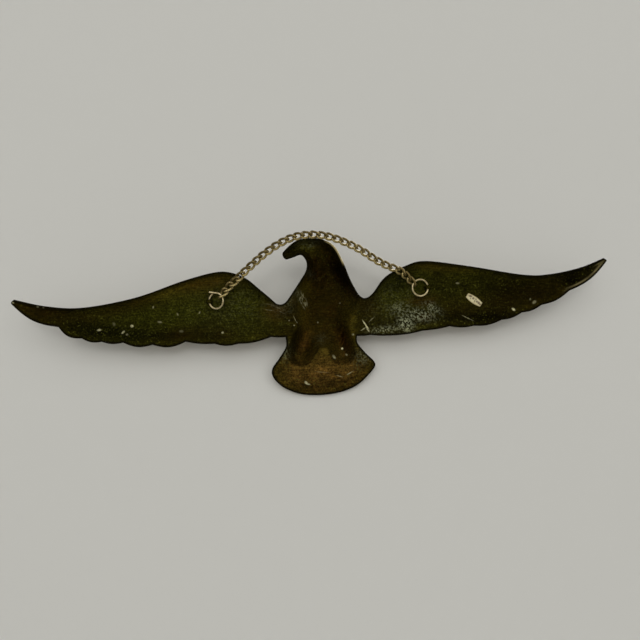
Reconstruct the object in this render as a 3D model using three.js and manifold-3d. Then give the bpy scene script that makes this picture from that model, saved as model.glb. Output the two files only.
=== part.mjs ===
// A wall eagle with spread wings: one hollow-backed brass casting that hangs from a curb chain.
// Millimetres. X runs across the wings, towards the beak, Z is up, and +Y faces the wall.
// The carved face is on -Y, and the flat rim round the hollow back lies in the plane y = 0 until
// the whole part is moved, at the end, to put the origin where the chain hangs on its nail.
import * as THREE from "three";
import { mergeVertices } from "three/addons/utils/BufferGeometryUtils.js";
import Module from "manifold-3d";

const wasm = await Module();
wasm.setup();

// The casting's wall, and the flat rim that runs round its open back.
const WALL = 3;
const EDGE = 2.6;
const RIM = 1.6;
const BACK_ROLL = 5;

// How far each wing's arch stands out: its crest near the body and at the tip, the distances from the
// middle between which it grows out of the body and then falls to the tip, and how far it leans upwards.
const WING_ARCH = { crest: 8, tipCrest: 1.8, fallStart: 60, fallLength: 190, fallPower: 1.3, lean: 0.6 };
const WING_ROOT = { inner: 24, outer: 66, crestShare: 0.75 };

// How wide the face's edges round over.
const FACE_ROLL = 8;

// Feathers: lines between them are grooves, and each row ends in a step on the next one.
const FEATHERS = 10;
const GROOVE = 1.2;
const ROW_STEP = 1.1;
const TAIL_GROOVE = 1.1;
const TAIL_GROOVE_START = 0.3;

// The lower ends of the wing's two upper feather rows, as shares of the wing's depth: a plain line, then
// one scallop to each feather.
const ROW_ENDS = [{ share: 0.27, dip: 0 }, { share: 0.56, dip: 0.09 }];

// How much of the upper edge the outermost feather's sweep takes up, and how sharply it sets in.
const SWEEP = { share: 0.26, power: 16 };

// Each wing's upper edge from notch to tip, as [distance from the middle, height].
const UPPER_EDGE = {
  right: [[34, 7.1], [36.8, 8.1], [39.4, 10.6], [42.8, 14.1], [51, 22], [61, 31.2], [74, 37.2], [88, 38],
    [115, 32.4], [155, 21.2], [198, 16], [228, 19.3], [252.9, 26.5]],
  left: [[38.7, 7.6], [41.3, 7.9], [44.4, 9.6], [48.2, 13.2], [54.9, 21.4], [62.3, 27.1], [76, 32.8],
    [94, 36], [133, 28.9], [180, 18.4], [205, 17.3], [233, 21.4], [253.8, 28.2]],
};

// The valleys between the feather tips along each lower edge, from the body out to the wing tip, as
// [distance from the middle, height, how far the feather inside the valley bulges past its chord].
const LOWER_EDGE = {
  right: [[31.2, -21, 0], [43.5, -19.9, 0.3], [71.5, -23.7, 1.6], [91.5, -22.2, 1.7], [115.5, -18.7, 0.9],
    [143, -19.2, 3.3], [167, -15.6, 2.8], [184.5, -13.6, 1.5], [200.5, -9.6, 1.8], [218.7, 1.2, 3.4],
    [254.2, 21.8, 4.3]],
  left: [[30, -24.4, 0], [42, -24.6, 0.3], [64, -26.4, 0.5], [87, -24.2, 0.7], [111.5, -22.1, 0.6],
    [133, -23.2, 1.3], [158, -19.8, 1.9], [176.3, -14.8, 1.5], [194.7, -9.3, 1.5], [220.5, 1.3, 2.3],
    [255.7, 24.2, 3.4]],
};
const TIP_BULGE = 1.8;

// The head's two sides, each from the notch above a wing to the beak's tip, as [x, z].
const THROAT = [[34, 7.1], [31.2, 7.5], [28.4, 9.4], [25, 13.4], [17.5, 23.3], [10.4, 33.2], [8.6, 39.6],
  [9.9, 44.8], [13.2, 48.2], [19.2, 46.6], [24.7, 45.2]];
const NAPE = [[-38.7, 7.6], [-36.2, 8.8], [-33.2, 12.6], [-27.6, 24.9], [-22.4, 40.6], [-15.6, 54.3],
  [-4.6, 60.8], [6, 62], [15.3, 60.8], [22.4, 56.7], [27.6, 51.9]];
const BEAK_BULGE = 2.4;

// The tail's two sides and its round end.
const TAIL_RIGHT = [[31.2, -21], [31.4, -29], [37.5, -38.1], [43.4, -45.3], [45, -49]];
const TAIL_LEFT = [[-30, -24.4], [-30.2, -30.5], [-36.6, -39.6], [-42.4, -45.9], [-44.1, -49.2]];
const TAIL_END = [[45, -49], [44.9, -52], [42, -57.8], [34, -64.9], [20, -70.8], [2, -72.6], [-15, -70.9],
  [-28.5, -65.8], [-38.2, -57.9], [-43.4, -52.3], [-44.1, -49.2]];

// The body's round forms, each a run of [x, z, radius, height in front of the rim].
const TORSO = [[-1, -10, 23, 23], [-5, 6, 29, 25], [-9, 27, 27, 22], [-7, 44, 22, 18], [8, 54, 16, 14],
  [24, 50, 12, 9]];
const RIGHT_THIGH = [[8, -14, 13, 19], [14, -26, 12.5, 18], [19.5, -35.6, 11.5, 13]];
const LEFT_THIGH = [[-11, -14, 13, 19], [-14.5, -27, 12, 18], [-17, -38, 10.8, 13]];
const FORM_SAMPLES = 12;
const FORM_FULLNESS = 0.65;
const FORM_BLEND = 5;
const FOOT_FALL = 20;

// The casting's mesh: its columns and rows, the distance past the rim at which a row follows the rolled
// edge, half the width of a feather row's step, and how far the rows across the body sag at the neck.
const MESH = {
  perFeather: 4, across: 12, headRows: 11, tailRows: 9, edgeRow: 3.2, stepGap: 0.5, neckSag: 6,
};

// The face's small forms: an eye and a brow, each [x, z, half-length, half-width, height, tilt], and
// three toes spread over the tail from under each leg.
const EYE = [6.4, 51.8, 2.7, 2.3, 1.5, 0];
const BROW = [7.2, 55.2, 6.2, 1.6, 1.4, -12];
const FEET = [[19.5, -47.2], [-17, -48.4]];
const TOE = { spread: 34, reach: 6.5, halfLength: 6.8, halfWidth: 2.3, height: 2.1, middle: 2.6 };

// The two open rings: where each passes through its lug, how far the chain lifts it out of the wing's
// plane, the angle round the ring at which the chain pulls, and the ring's arc of wire from a start
// angle clockwise, which on the right springs out straight at its end.
const RING_WIRE = 1.45;
const RINGS = {
  right: {
    lug: [93.5, -3.6, 14], radius: 6.6, side: 1, lift: 25, chain: 142, start: 62, turn: 322, spring: 7,
  },
  left: {
    lug: [-95.5, -3.6, 13.2], radius: 7.15, side: -1, lift: 8, chain: 34, start: 163, turn: 350, spring: 0,
  },
};
const SPRING_LEAN = 0.25;
const LUG = { hole: 1.5, wall: 1.2, thickness: 3.2, sunk: 1.5 };

// The chain: its count of links, one curb link, which rolls over more the nearer it hangs to a ring, and
// the middle line that the links follow between the rings.
const LINKS = 29;
const LINK_WIRE = 1.7;
const LINK = { halfLength: 4.6, halfWidth: 2.45, twist: 61, segments: 8 };
const CHAIN_END = { clearance: 0.6, roll: 50, rolledLinks: 4 };
const CHAIN_LINE = [[75, 2, 25.8], [68, 2.2, 31.4], [61.5, 2.4, 37], [53.5, 2.3, 43.5],
  [46, 2.2, 49.3], [32.5, 2.5, 57.7], [19.3, 3, 62.9], [5, 3.2, 64.4], [-9, 3.2, 62.5], [-22, 3, 57.6],
  [-38, 2.4, 48.8], [-51, 2.3, 39.2], [-61.5, 2.7, 33], [-68.6, 2.8, 29.8], [-75, 1.4, 25]];

// The sticker on the back of the left wing.
const LABEL = {
  x: -135.7, z: -0.7, length: 14.8, width: 6.4, endShare: 0.64, thickness: 0.3, tilt: 39.5, lift: 0.45,
};

// Where the nail bears, under the top of the chain.
const HANG = new THREE.Vector3(3, 2, 62.2);

const PATINATED_BRASS = new THREE.MeshStandardMaterial({ color: 0x3b3820, roughness: 0.5, metalness: 0.6 });
const PALE_BRASS = new THREE.MeshStandardMaterial({ color: 0xb3a678, roughness: 0.35, metalness: 0.9 });
const CREAM_PAPER = new THREE.MeshStandardMaterial({ color: 0xd8cfa6, roughness: 0.6, metalness: 0 });

const clamp = THREE.MathUtils.clamp;
const lerp = THREE.MathUtils.lerp;

function smoothMax(a, b, blend) {
  const near = Math.max(blend - Math.abs(a - b), 0);
  return Math.max(a, b) + (near * near) / (4 * blend);
}

// A quarter-round rise from 0 at the edge to 1 at the given distance.
function roll(distance, width) {
  const q = 1 - clamp(distance / width, 0, 1);
  return Math.sqrt(1 - q * q);
}

function smoothLine(points) {
  return new THREE.SplineCurve(points.map(([x, z]) => new THREE.Vector2(x, z)));
}

// A point on a wing's lower edge: whole numbers are valleys, and fractions run round a feather's tip.
function lowerPoint(valleys, column) {
  const k = Math.min(Math.floor(column), FEATHERS - 1);
  const q = column - k;
  const inner = new THREE.Vector2(valleys[k][0], valleys[k][1]);
  const outer = new THREE.Vector2(valleys[k + 1][0], valleys[k + 1][1]);
  const chord = outer.clone().sub(inner);
  const outward = new THREE.Vector2(chord.y, -chord.x).normalize();
  const bulge = valleys[k + 1][2] * Math.sin(Math.PI * q);
  return inner.addScaledVector(chord, q).addScaledVector(outward, bulge);
}

// How far along the upper edge a feather column starts, so that the outer feathers sweep outwards.
function upperShare(share) {
  return (1 - SWEEP.share) * share + SWEEP.share * share ** SWEEP.power;
}

class Wing {
  constructor(name) {
    this.side = name === "right" ? 1 : -1;
    this.valleys = LOWER_EDGE[name];
    this.upper = smoothLine(UPPER_EDGE[name]);
    this.upperPoints = this.upper.getPoints(120);
    this.lowerPoints = smoothLine(this.valleys).getPoints(120);
  }

  // The column's top and bottom, mirrored to the wing's own side.
  ends(column) {
    const top = this.upper.getPointAt(upperShare(column / FEATHERS));
    const bottom = lowerPoint(this.valleys, column);
    return [top, bottom].map((p) => new THREE.Vector2(p.x * this.side, p.y));
  }

  point(column, t) {
    const [top, bottom] = this.ends(column);
    const p = top.lerp(bottom, t);
    if (column >= FEATHERS) p.x += this.side * TIP_BULGE * Math.sin(Math.PI * t);
    return p;
  }
}
const WINGS = { right: new Wing("right"), left: new Wing("left") };

function heightAt(points, x) {
  if (x <= points[0].x) return points[0].y;
  const k = points.findIndex((p) => p.x >= x);
  if (k < 0) return points[points.length - 1].y;
  const [a, b] = [points[k - 1], points[k]];
  return lerp(a.y, b.y, (x - a.x) / Math.max(b.x - a.x, 1e-6));
}

// The wing's arch from upper to lower edge, which the hollow back follows.
function wingArch(x, z) {
  const wing = x > 0 ? WINGS.right : WINGS.left;
  const out = Math.abs(x);
  const top = heightAt(wing.upperPoints, out);
  const bottom = heightAt(wing.lowerPoints, out);
  const share = clamp((top - z) / Math.max(top - bottom, 1), 0, 1);
  const { crest, tipCrest, fallStart, fallLength, fallPower, lean } = WING_ARCH;
  const height = lerp(crest, tipCrest, clamp((out - fallStart) / fallLength, 0, 1) ** fallPower);
  const root = THREE.MathUtils.smoothstep(out, WING_ROOT.inner, WING_ROOT.outer);
  return lerp(WING_ROOT.crestShare, 1, root) * height * Math.sin(Math.PI * share ** lerp(1, lean, root));
}

// A smooth run of stations through the given ones.
function smoothRun(stations) {
  const places = smoothLine(stations);
  const sizes = smoothLine(stations.map(([, , radius, height]) => [radius, height]));
  const run = [];
  for (let k = 0; k <= FORM_SAMPLES; k++) {
    const place = places.getPoint(k / FORM_SAMPLES);
    const size = sizes.getPoint(k / FORM_SAMPLES);
    run.push([place.x, place.y, size.x, size.y]);
  }
  return run;
}
const FORMS = [TORSO, RIGHT_THIGH, LEFT_THIGH].map(smoothRun);

// The height of one round form at a point: a rounded ridge along the form's run of stations, which
// falls away below the rim's plane outside its foot.
function ridge(stations, x, z) {
  let best = -Infinity;
  for (let k = 0; k + 1 < stations.length; k++) {
    const [a, b] = [stations[k], stations[k + 1]];
    const [dx, dz] = [b[0] - a[0], b[1] - a[1]];
    const share = clamp(((x - a[0]) * dx + (z - a[1]) * dz) / (dx * dx + dz * dz), 0, 1);
    const off = Math.hypot(x - lerp(a[0], b[0], share), z - lerp(a[1], b[1], share));
    const q = off / lerp(a[2], b[2], share);
    const height = lerp(a[3], b[3], share);
    best = Math.max(best, q < 1 ? height * (1 - q * q) ** FORM_FULLNESS : FOOT_FALL * (1 - q));
  }
  return best;
}

// The large form of the face, without feathers or rounded edges.
function form(x, z) {
  let height = WALL + wingArch(x, z);
  for (const run of FORMS) height = smoothMax(height, ridge(run, x, z), FORM_BLEND);
  return height;
}

// A point on the beak's round tip, from the throat's side at 0 to the nape's side at 1.
function beakTip(share) {
  const [from, to] = [THROAT, NAPE].map((line) => new THREE.Vector2(...line[line.length - 1]));
  const outward = new THREE.Vector2(to.y - from.y, from.x - to.x).normalize();
  return from.lerp(to, share).addScaledVector(outward, BEAK_BULGE * Math.sqrt(1 - (2 * share - 1) ** 2));
}

// The outline as one closed run of points, and the distance of a point from it.
function outlineOf(samples) {
  const run = (line) => smoothLine(line).getSpacedPoints(samples);
  const wingRun = (wing) => {
    const upper = [];
    const lower = [];
    for (let k = 0; k <= samples * 2; k++) {
      const column = (FEATHERS * k) / (samples * 2);
      upper.push(wing.point(column, 0));
      lower.push(wing.point(column, 1));
    }
    return [...upper, wing.point(FEATHERS, 0.5), ...lower.reverse()];
  };
  const beak = [0.9, 0.75, 0.5, 0.25, 0.1].map(beakTip);
  return [
    ...wingRun(WINGS.right),
    ...run(TAIL_RIGHT),
    ...run(TAIL_END),
    ...run(TAIL_LEFT).reverse(),
    ...wingRun(WINGS.left).reverse(),
    ...run(NAPE),
    ...beak,
    ...run(THROAT).reverse(),
  ];
}
const OUTLINE = outlineOf(40);

function edgeDistance(x, z) {
  let best = Infinity;
  for (let k = 0; k < OUTLINE.length; k++) {
    const [a, b] = [OUTLINE[k], OUTLINE[(k + 1) % OUTLINE.length]];
    const [dx, dz] = [b.x - a.x, b.y - a.y];
    const length2 = dx * dx + dz * dz;
    const share = length2 ? clamp(((x - a.x) * dx + (z - a.y) * dz) / length2, 0, 1) : 0;
    best = Math.min(best, Math.hypot(x - a.x - share * dx, z - a.y - share * dz));
  }
  return best;
}

// How deep the hollow back lies behind the rim's plane.
function hollowDepth(x, z) {
  const depth = Math.max(form(x, z) - WALL, 0);
  return depth * roll(edgeDistance(x, z) - RIM, BACK_ROLL);
}

function faceHeight(x, z, relief) {
  return EDGE + (form(x, z) + relief - EDGE) * roll(edgeDistance(x, z), FACE_ROLL);
}

// Fractions along a line of this length that keep rows beside both edges for the rim and its wall.
function evenShares(length, count) {
  const rim = Math.min(RIM / length, 0.08);
  const wall = Math.min((RIM + MESH.edgeRow) / length, 0.2);
  const inner = [];
  for (let k = 0; k <= count; k++) inner.push(lerp(wall, 1 - wall, k / count));
  return [0, rim, ...inner, 1 - rim, 1];
}

function rowEnd(row, column) {
  return row.share - row.dip * (1 - Math.sin(Math.PI * (column % 1)));
}

// The share of the way down a column at which each row of the mesh lies.
function wingShares(wing, column) {
  const [top, bottom] = wing.ends(column);
  const chord = top.distanceTo(bottom);
  const rim = Math.min(RIM / chord, 0.08);
  const wall = Math.min((RIM + MESH.edgeRow) / chord, 0.16);
  const gap = Math.min(MESH.stepGap / chord, 0.02);
  const [first, second] = ROW_ENDS.map((row) => rowEnd(row, column));
  return [0, rim, wall, first - gap, first + gap, (first + second) / 2, second - gap, second + gap,
    (second + 1) / 2, 1 - wall, 1 - rim, 1];
}

// Feather relief on a wing: each feather is arched between its grooves, and each row thickens to its end.
function featherRelief(column, t, chord) {
  const q = column % 1;
  const [first, second] = ROW_ENDS.map((row) => rowEnd(row, column));
  const fade = clamp(chord / 30, 0.25, 1);
  if (t <= first) return ROW_STEP * fade * (1 + (t / first) ** 2);
  if (t <= second) return ROW_STEP * fade * ((t - first) / (second - first)) ** 2 - groove(q, 0.5) * fade;
  return -groove(q, 1) * fade;
}

function groove(q, share) {
  return GROOVE * share * Math.abs(2 * q - 1) ** 3;
}

// A plan mesh: points in the XZ plane with the face's relief at each, and the squares between them.
class Plan {
  constructor() {
    this.points = [];
    this.index = new Map();
    this.triangles = [];
  }

  add(p, relief) {
    const key = Math.round(p.x * 1e3) + "," + Math.round(p.y * 1e3);
    if (!this.index.has(key)) {
      this.index.set(key, this.points.length);
      this.points.push({ x: p.x, z: p.y, relief });
    }
    return this.index.get(key);
  }

  // How far the straight line between two points lies from the form under its middle.
  bend(a, b) {
    const [p, q] = [this.points[a], this.points[b]];
    return Math.abs(form(p.x, p.z) + form(q.x, q.z) - 2 * form((p.x + q.x) / 2, (p.z + q.z) / 2));
  }

  // Joins a grid of indices, whose rows run one way across the plan and whose columns run down it.
  // Each square is split along the diagonal that lies closer to the form.
  grid(rows, flip) {
    for (let j = 0; j + 1 < rows.length; j++) {
      for (let k = 0; k + 1 < rows[j].length; k++) {
        const [a, b, c, d] = [rows[j][k], rows[j][k + 1], rows[j + 1][k + 1], rows[j + 1][k]];
        const onFirst = this.bend(a, c) <= this.bend(b, d);
        const halves = onFirst ? [[a, b, c], [a, c, d]] : [[a, b, d], [b, c, d]];
        for (const t of halves) {
          if (new Set(t).size === 3) this.triangles.push(flip ? [t[0], t[2], t[1]] : t);
        }
      }
    }
  }

  // Closes the plan into a solid between its face and its back, with a wall along every free edge.
  solid() {
    const count = this.points.length;
    const position = new Float32Array(count * 6);
    this.points.forEach((p, k) => {
      const onEdge = edgeDistance(p.x, p.z) < 0.02;
      const front = onEdge ? EDGE : faceHeight(p.x, p.z, p.relief);
      const back = onEdge ? 0 : hollowDepth(p.x, p.z);
      position.set([p.x, -front, p.z], k * 3);
      position.set([p.x, -back, p.z], (count + k) * 3);
    });
    const faces = [];
    const open = new Map();
    for (const [a, b, c] of this.triangles) {
      faces.push(a, b, c, count + a, count + c, count + b);
      for (const [from, to] of [[a, b], [b, c], [c, a]]) {
        if (!open.delete(to + "," + from)) open.set(from + "," + to, [from, to]);
      }
    }
    for (const [from, to] of open.values()) {
      faces.push(to, from, count + from, to, count + from, count + to);
    }
    const geometry = new THREE.BufferGeometry();
    geometry.setAttribute("position", new THREE.BufferAttribute(position, 3));
    geometry.setIndex(faces);
    return geometry;
  }
}

// A row of points across the body or head, which may sag below its straight line.
function acrossRow(plan, right, left, sag) {
  const shares = evenShares(right.distanceTo(left), MESH.across);
  return shares.map((s) => {
    const p = right.clone().lerp(left, s);
    p.y -= sag * (1 - (2 * s - 1) ** 4);
    return plan.add(p, 0);
  });
}

function addWing(plan, wing) {
  const columns = [];
  const count = FEATHERS * MESH.perFeather;
  for (let k = 0; k <= count; k++) {
    const column = k / MESH.perFeather;
    const [top, bottom] = wing.ends(column);
    const chord = top.distanceTo(bottom);
    columns.push(wingShares(wing, column).map((t) => {
      const relief = column === 0 ? 0 : featherRelief(column, t, chord);
      return plan.add(wing.point(column, t), relief);
    }));
  }
  plan.grid(columns, wing.side < 0);
  return columns[0];
}

// The body between the wing roots: its rows join the two roots' points, and sag most at the neck.
function addBody(plan) {
  const shares = [wingShares(WINGS.right, 0), wingShares(WINGS.left, 0)];
  const rows = shares[0].map((t, j) => {
    const [a, b] = [WINGS.right.point(0, t), WINGS.left.point(0, shares[1][j])];
    return acrossRow(plan, a, b, MESH.neckSag * (1 - t));
  });
  plan.grid(rows, false);
}

function addHead(plan) {
  const [throat, nape] = [smoothLine(THROAT), smoothLine(NAPE)];
  const rows = [];
  for (let j = 0; j < MESH.headRows; j++) {
    const share = j / MESH.headRows;
    const [a, b] = [throat.getPointAt(share), nape.getPointAt(share)];
    rows.push(acrossRow(plan, a, b, MESH.neckSag * (1 - share) ** 4));
  }
  const tipShares = evenShares(throat.getPointAt(1).distanceTo(nape.getPointAt(1)), MESH.across);
  rows[MESH.headRows] = tipShares.map((s) => plan.add(beakTip(s), 0));
  plan.grid(rows, true);
}

function addTail(plan) {
  const [right, left] = [smoothLine(TAIL_RIGHT), smoothLine(TAIL_LEFT)];
  const end = smoothLine(TAIL_END);
  const rows = [];
  for (let j = 0; j <= MESH.tailRows; j++) {
    const share = j / MESH.tailRows;
    const [a, b] = [right.getPointAt(share), left.getPointAt(share)];
    const shares = evenShares(a.distanceTo(b), MESH.across);
    rows.push(shares.map((s, k) => {
      const straight = a.clone().lerp(b, s);
      const sag = end.getPointAt(s).sub(right.getPointAt(1).lerp(left.getPointAt(1), s));
      const relief = share > TAIL_GROOVE_START ? -TAIL_GROOVE * (k % 2) : 0;
      return plan.add(straight.addScaledVector(sag, share ** 2), relief);
    }));
  }
  plan.grid(rows, false);
}

function toManifold(geometry) {
  const bare = new THREE.BufferGeometry().setAttribute("position", geometry.getAttribute("position"));
  if (geometry.index) bare.setIndex(geometry.index);
  const merged = mergeVertices(bare, 1e-4);
  const vertProperties = new Float32Array(merged.attributes.position.array);
  const triVerts = new Uint32Array(merged.index.array);
  return new wasm.Manifold(new wasm.Mesh({ numProp: 3, vertProperties, triVerts }));
}

function fromManifold(solid) {
  const mesh = solid.getMesh();
  const geometry = new THREE.BufferGeometry();
  geometry.setAttribute("position", new THREE.BufferAttribute(new Float32Array(mesh.vertProperties), 3));
  geometry.setIndex(new THREE.BufferAttribute(new Uint32Array(mesh.triVerts), 1));
  return geometry;
}

// A low oval bead, long in X before it is tilted, whose middle lies at the given depth in the face.
function beadGeometry([x, z, halfLength, halfWidth, height, tilt], middle) {
  const geometry = new THREE.SphereGeometry(1, 6, 4).scale(halfLength, height, halfWidth);
  geometry.rotateY(-THREE.MathUtils.degToRad(tilt));
  return geometry.translate(x, -middle, z);
}

function toeGeometries() {
  const toes = [];
  for (const [x, z] of FEET) {
    for (const turn of [-1, 0, 1]) {
      const tilt = -90 + turn * TOE.spread;
      const angle = THREE.MathUtils.degToRad(tilt);
      const [px, pz] = [x + TOE.reach * Math.cos(angle), z + TOE.reach * Math.sin(angle)];
      const toe = [px, pz, TOE.halfLength, TOE.halfWidth, TOE.height, tilt];
      toes.push(beadGeometry(toe, TOE.middle));
    }
  }
  return toes;
}

// A drilled lug: a round-topped tab whose hole runs along Z, sunk into the floor of the wing's back.
function lugGeometry(ring) {
  const [x, cy, cz] = ring.lug;
  const reach = LUG.hole + LUG.wall;
  const foot = -hollowDepth(x, cz) - LUG.sunk - cy;
  const shape = new THREE.Shape();
  shape.moveTo(-reach, foot);
  shape.lineTo(reach, foot);
  shape.lineTo(reach, 0);
  shape.absarc(0, 0, reach, 0, Math.PI, false);
  shape.closePath();
  const hole = new THREE.Path();
  hole.absarc(0, 0, LUG.hole, 0, 2 * Math.PI, true);
  shape.holes.push(hole);
  const geometry = new THREE.ExtrudeGeometry(shape, {
    depth: LUG.thickness, bevelEnabled: false, curveSegments: 5,
  });
  return geometry.translate(x, cy, cz - LUG.thickness / 2);
}

function castingGeometry() {
  const plan = new Plan();
  addWing(plan, WINGS.right);
  addWing(plan, WINGS.left);
  addBody(plan);
  addHead(plan);
  addTail(plan);
  const beads = [EYE, BROW].map((bead) => beadGeometry(bead, faceHeight(bead[0], bead[1], 0)));
  const lugs = Object.values(RINGS).map(lugGeometry);
  let solid = toManifold(plan.solid());
  for (const geometry of [...lugs, ...beads, ...toeGeometries()]) solid = solid.add(toManifold(geometry));
  return fromManifold(solid);
}

// A point of a ring's wire, at an angle round the ring and then some way along a straight end. The ring
// is turned about the upright line through its lug.
function ringPoint({ lug, radius, side, lift }, angle, straight) {
  const heading = angle - Math.PI / 2;
  const inward = radius - side * (radius * Math.cos(angle) + straight * Math.cos(heading));
  return new THREE.Vector3(
    lug[0] - side * inward * Math.cos(THREE.MathUtils.degToRad(lift)),
    lug[1] + inward * Math.sin(THREE.MathUtils.degToRad(lift)) + SPRING_LEAN * straight,
    lug[2] + radius * Math.sin(angle) + straight * Math.sin(heading),
  );
}

// The middle line of an open ring: an arc from its start angle to its gap, then its straight end.
class RingLine extends THREE.Curve {
  constructor(ring) {
    super();
    this.ring = ring;
  }

  getPoint(share, target = new THREE.Vector3()) {
    const { radius, start, turn, spring } = this.ring;
    const arc = radius * THREE.MathUtils.degToRad(turn);
    const along = share * (arc + spring);
    const angle = THREE.MathUtils.degToRad(start) - Math.min(along, arc) / radius;
    return target.copy(ringPoint(this.ring, angle, Math.max(along - arc, 0)));
  }
}

function roundSection(radius, sides) {
  const shape = new THREE.Shape();
  for (let k = 0; k < sides; k++) {
    const angle = (2 * Math.PI * k) / sides;
    const at = [radius * Math.cos(angle), radius * Math.sin(angle)];
    if (k) shape.lineTo(...at);
    else shape.moveTo(...at);
  }
  shape.closePath();
  return shape;
}

function ringGeometry(ring) {
  return new THREE.ExtrudeGeometry(roundSection(RING_WIRE / 2, 6), {
    steps: 20, bevelEnabled: false, extrudePath: new RingLine(ring),
  });
}

// One curb link about its own middle, long in X: a round wire oval, twisted along its length.
function linkGeometry() {
  const { halfLength, halfWidth, twist, segments } = LINK;
  const geometry = new THREE.TorusGeometry(halfWidth, LINK_WIRE / 2, 5, segments);
  geometry.rotateZ(Math.PI / segments);
  const position = geometry.getAttribute("position");
  const straight = halfLength - halfWidth;
  for (let k = 0; k < position.count; k++) {
    const x = position.getX(k) + straight * Math.sign(position.getX(k));
    const turn = (THREE.MathUtils.degToRad(twist) * x) / halfLength;
    const [y, z] = [position.getY(k), position.getZ(k)];
    position.setXYZ(k, x, y * Math.cos(turn) - z * Math.sin(turn), y * Math.sin(turn) + z * Math.cos(turn));
  }
  return geometry;
}

// Puts a link on the chain's line, turned along it, flat towards the wall, with a roll near the rings.
function placeLink(mesh, line, share, rollAngle) {
  const along = line.getTangentAt(share);
  const flat = new THREE.Vector3(0, 1, 0).addScaledVector(along, -along.y).normalize();
  const across = new THREE.Vector3().crossVectors(flat, along);
  const turn = new THREE.Matrix4().makeBasis(along, across, flat);
  mesh.quaternion.setFromRotationMatrix(turn);
  mesh.rotateX(rollAngle);
  mesh.position.copy(line.getPointAt(share));
}

function chainMeshes() {
  const ends = Object.values(RINGS).map((ring) => ringPoint(ring, THREE.MathUtils.degToRad(ring.chain), 0));
  const between = CHAIN_LINE.map((p) => new THREE.Vector3(...p));
  const line = new THREE.CatmullRomCurve3([ends[0], ...between, ends[1]]);
  const length = line.getLength();
  const endReach = LINK.halfLength - (LINK_WIRE + RING_WIRE) / 2 - CHAIN_END.clearance;
  const meshes = [];
  for (let k = 0; k < LINKS; k++) {
    const along = lerp(endReach, length - endReach, k / (LINKS - 1));
    const mesh = new THREE.Mesh(linkGeometry(), PALE_BRASS);
    mesh.name = "chain_link_" + String(k + 1).padStart(2, "0");
    const fromEnd = Math.min(k, LINKS - 1 - k);
    const rolled = CHAIN_END.roll * Math.max(0, 1 - fromEnd / CHAIN_END.rolledLinks);
    placeLink(mesh, line, along / length, THREE.MathUtils.degToRad(k < LINKS / 2 ? -rolled : rolled));
    meshes.push(mesh);
  }
  return meshes;
}

// A thin sticker bent to the hollow of the wing, narrower at its ends than at its middle.
function labelGeometry() {
  const { x, z, length, width, endShare, thickness, tilt, lift } = LABEL;
  const geometry = new THREE.BoxGeometry(length, width, thickness, 8, 1, 1);
  const position = geometry.getAttribute("position");
  const [c, s] = [Math.cos(THREE.MathUtils.degToRad(tilt)), Math.sin(THREE.MathUtils.degToRad(tilt))];
  for (let k = 0; k < position.count; k++) {
    const u = position.getX(k);
    const v = position.getY(k) * lerp(1, endShare, ((2 * u) / length) ** 2);
    const [px, pz] = [x + u * c - v * s, z + u * s + v * c];
    position.setXYZ(k, px, lift + thickness / 2 + position.getZ(k) - hollowDepth(px, pz), pz);
  }
  geometry.index.array.reverse();
  return geometry;
}

function named(name, geometry, material) {
  const mesh = new THREE.Mesh(geometry, material);
  mesh.name = name;
  return mesh;
}

const eagle = new THREE.Group();
eagle.add(named("eagle_casting", castingGeometry(), PATINATED_BRASS));
eagle.add(named("right_ring", ringGeometry(RINGS.right), PALE_BRASS));
eagle.add(named("left_ring", ringGeometry(RINGS.left), PALE_BRASS));
eagle.add(...chainMeshes());
eagle.add(named("label", labelGeometry(), CREAM_PAPER));
eagle.position.copy(HANG).negate();

const part = new THREE.Group();
part.add(eagle);
export default part;
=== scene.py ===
import math

import bpy
import numpy as np
from mathutils import Matrix, Vector


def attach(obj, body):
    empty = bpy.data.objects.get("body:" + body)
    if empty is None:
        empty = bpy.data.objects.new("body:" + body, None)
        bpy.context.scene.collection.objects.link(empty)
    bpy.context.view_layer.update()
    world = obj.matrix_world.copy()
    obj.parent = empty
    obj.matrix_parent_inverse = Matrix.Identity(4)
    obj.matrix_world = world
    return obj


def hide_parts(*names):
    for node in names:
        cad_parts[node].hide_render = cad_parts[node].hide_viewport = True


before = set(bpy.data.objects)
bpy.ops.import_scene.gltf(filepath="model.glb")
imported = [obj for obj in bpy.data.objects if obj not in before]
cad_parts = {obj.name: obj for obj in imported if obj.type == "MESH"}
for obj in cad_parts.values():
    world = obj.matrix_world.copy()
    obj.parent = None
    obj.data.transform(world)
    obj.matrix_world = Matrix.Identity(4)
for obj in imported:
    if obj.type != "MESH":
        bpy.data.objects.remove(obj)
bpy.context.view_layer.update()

# The eagle's own measures are in millimetres, before it is moved to hang from the origin: x runs towards the
# beak, z is up, and the back faces +y. Side 1 is the wing on the beak's side, and side -1 is the other.
MM = 0.001
HANG = np.array([3.0, 2.0, 62.2])

# The casting: its wall, the flat rim round its back, and how its edges round over.
WALL = 3.0
THINNEST = 1.2
EDGE = 2.6
RIM = 1.6
RIM_ROUND = 0.9
BACK_ROLL = 5.0
BACK_FILLET = 0.05
FACE_ROLL = 8.0
FAR_INSIDE = 20.0
WING_ARCH = {"crest": 8.0, "tip_crest": 1.8, "fall_start": 60.0, "fall_length": 190.0, "fall_power": 1.3,
             "lean": 0.6}
WING_ROOT = {"inner": 24.0, "outer": 66.0, "crest_share": 0.75}
FEATHERS = 10
GROOVE = 1.2
ROW_STEP = 1.1
TAIL_GROOVE = 1.1
FIRST_ROW = 0.27
SECOND_ROW = 0.56
SECOND_DIP = 0.09
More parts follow.
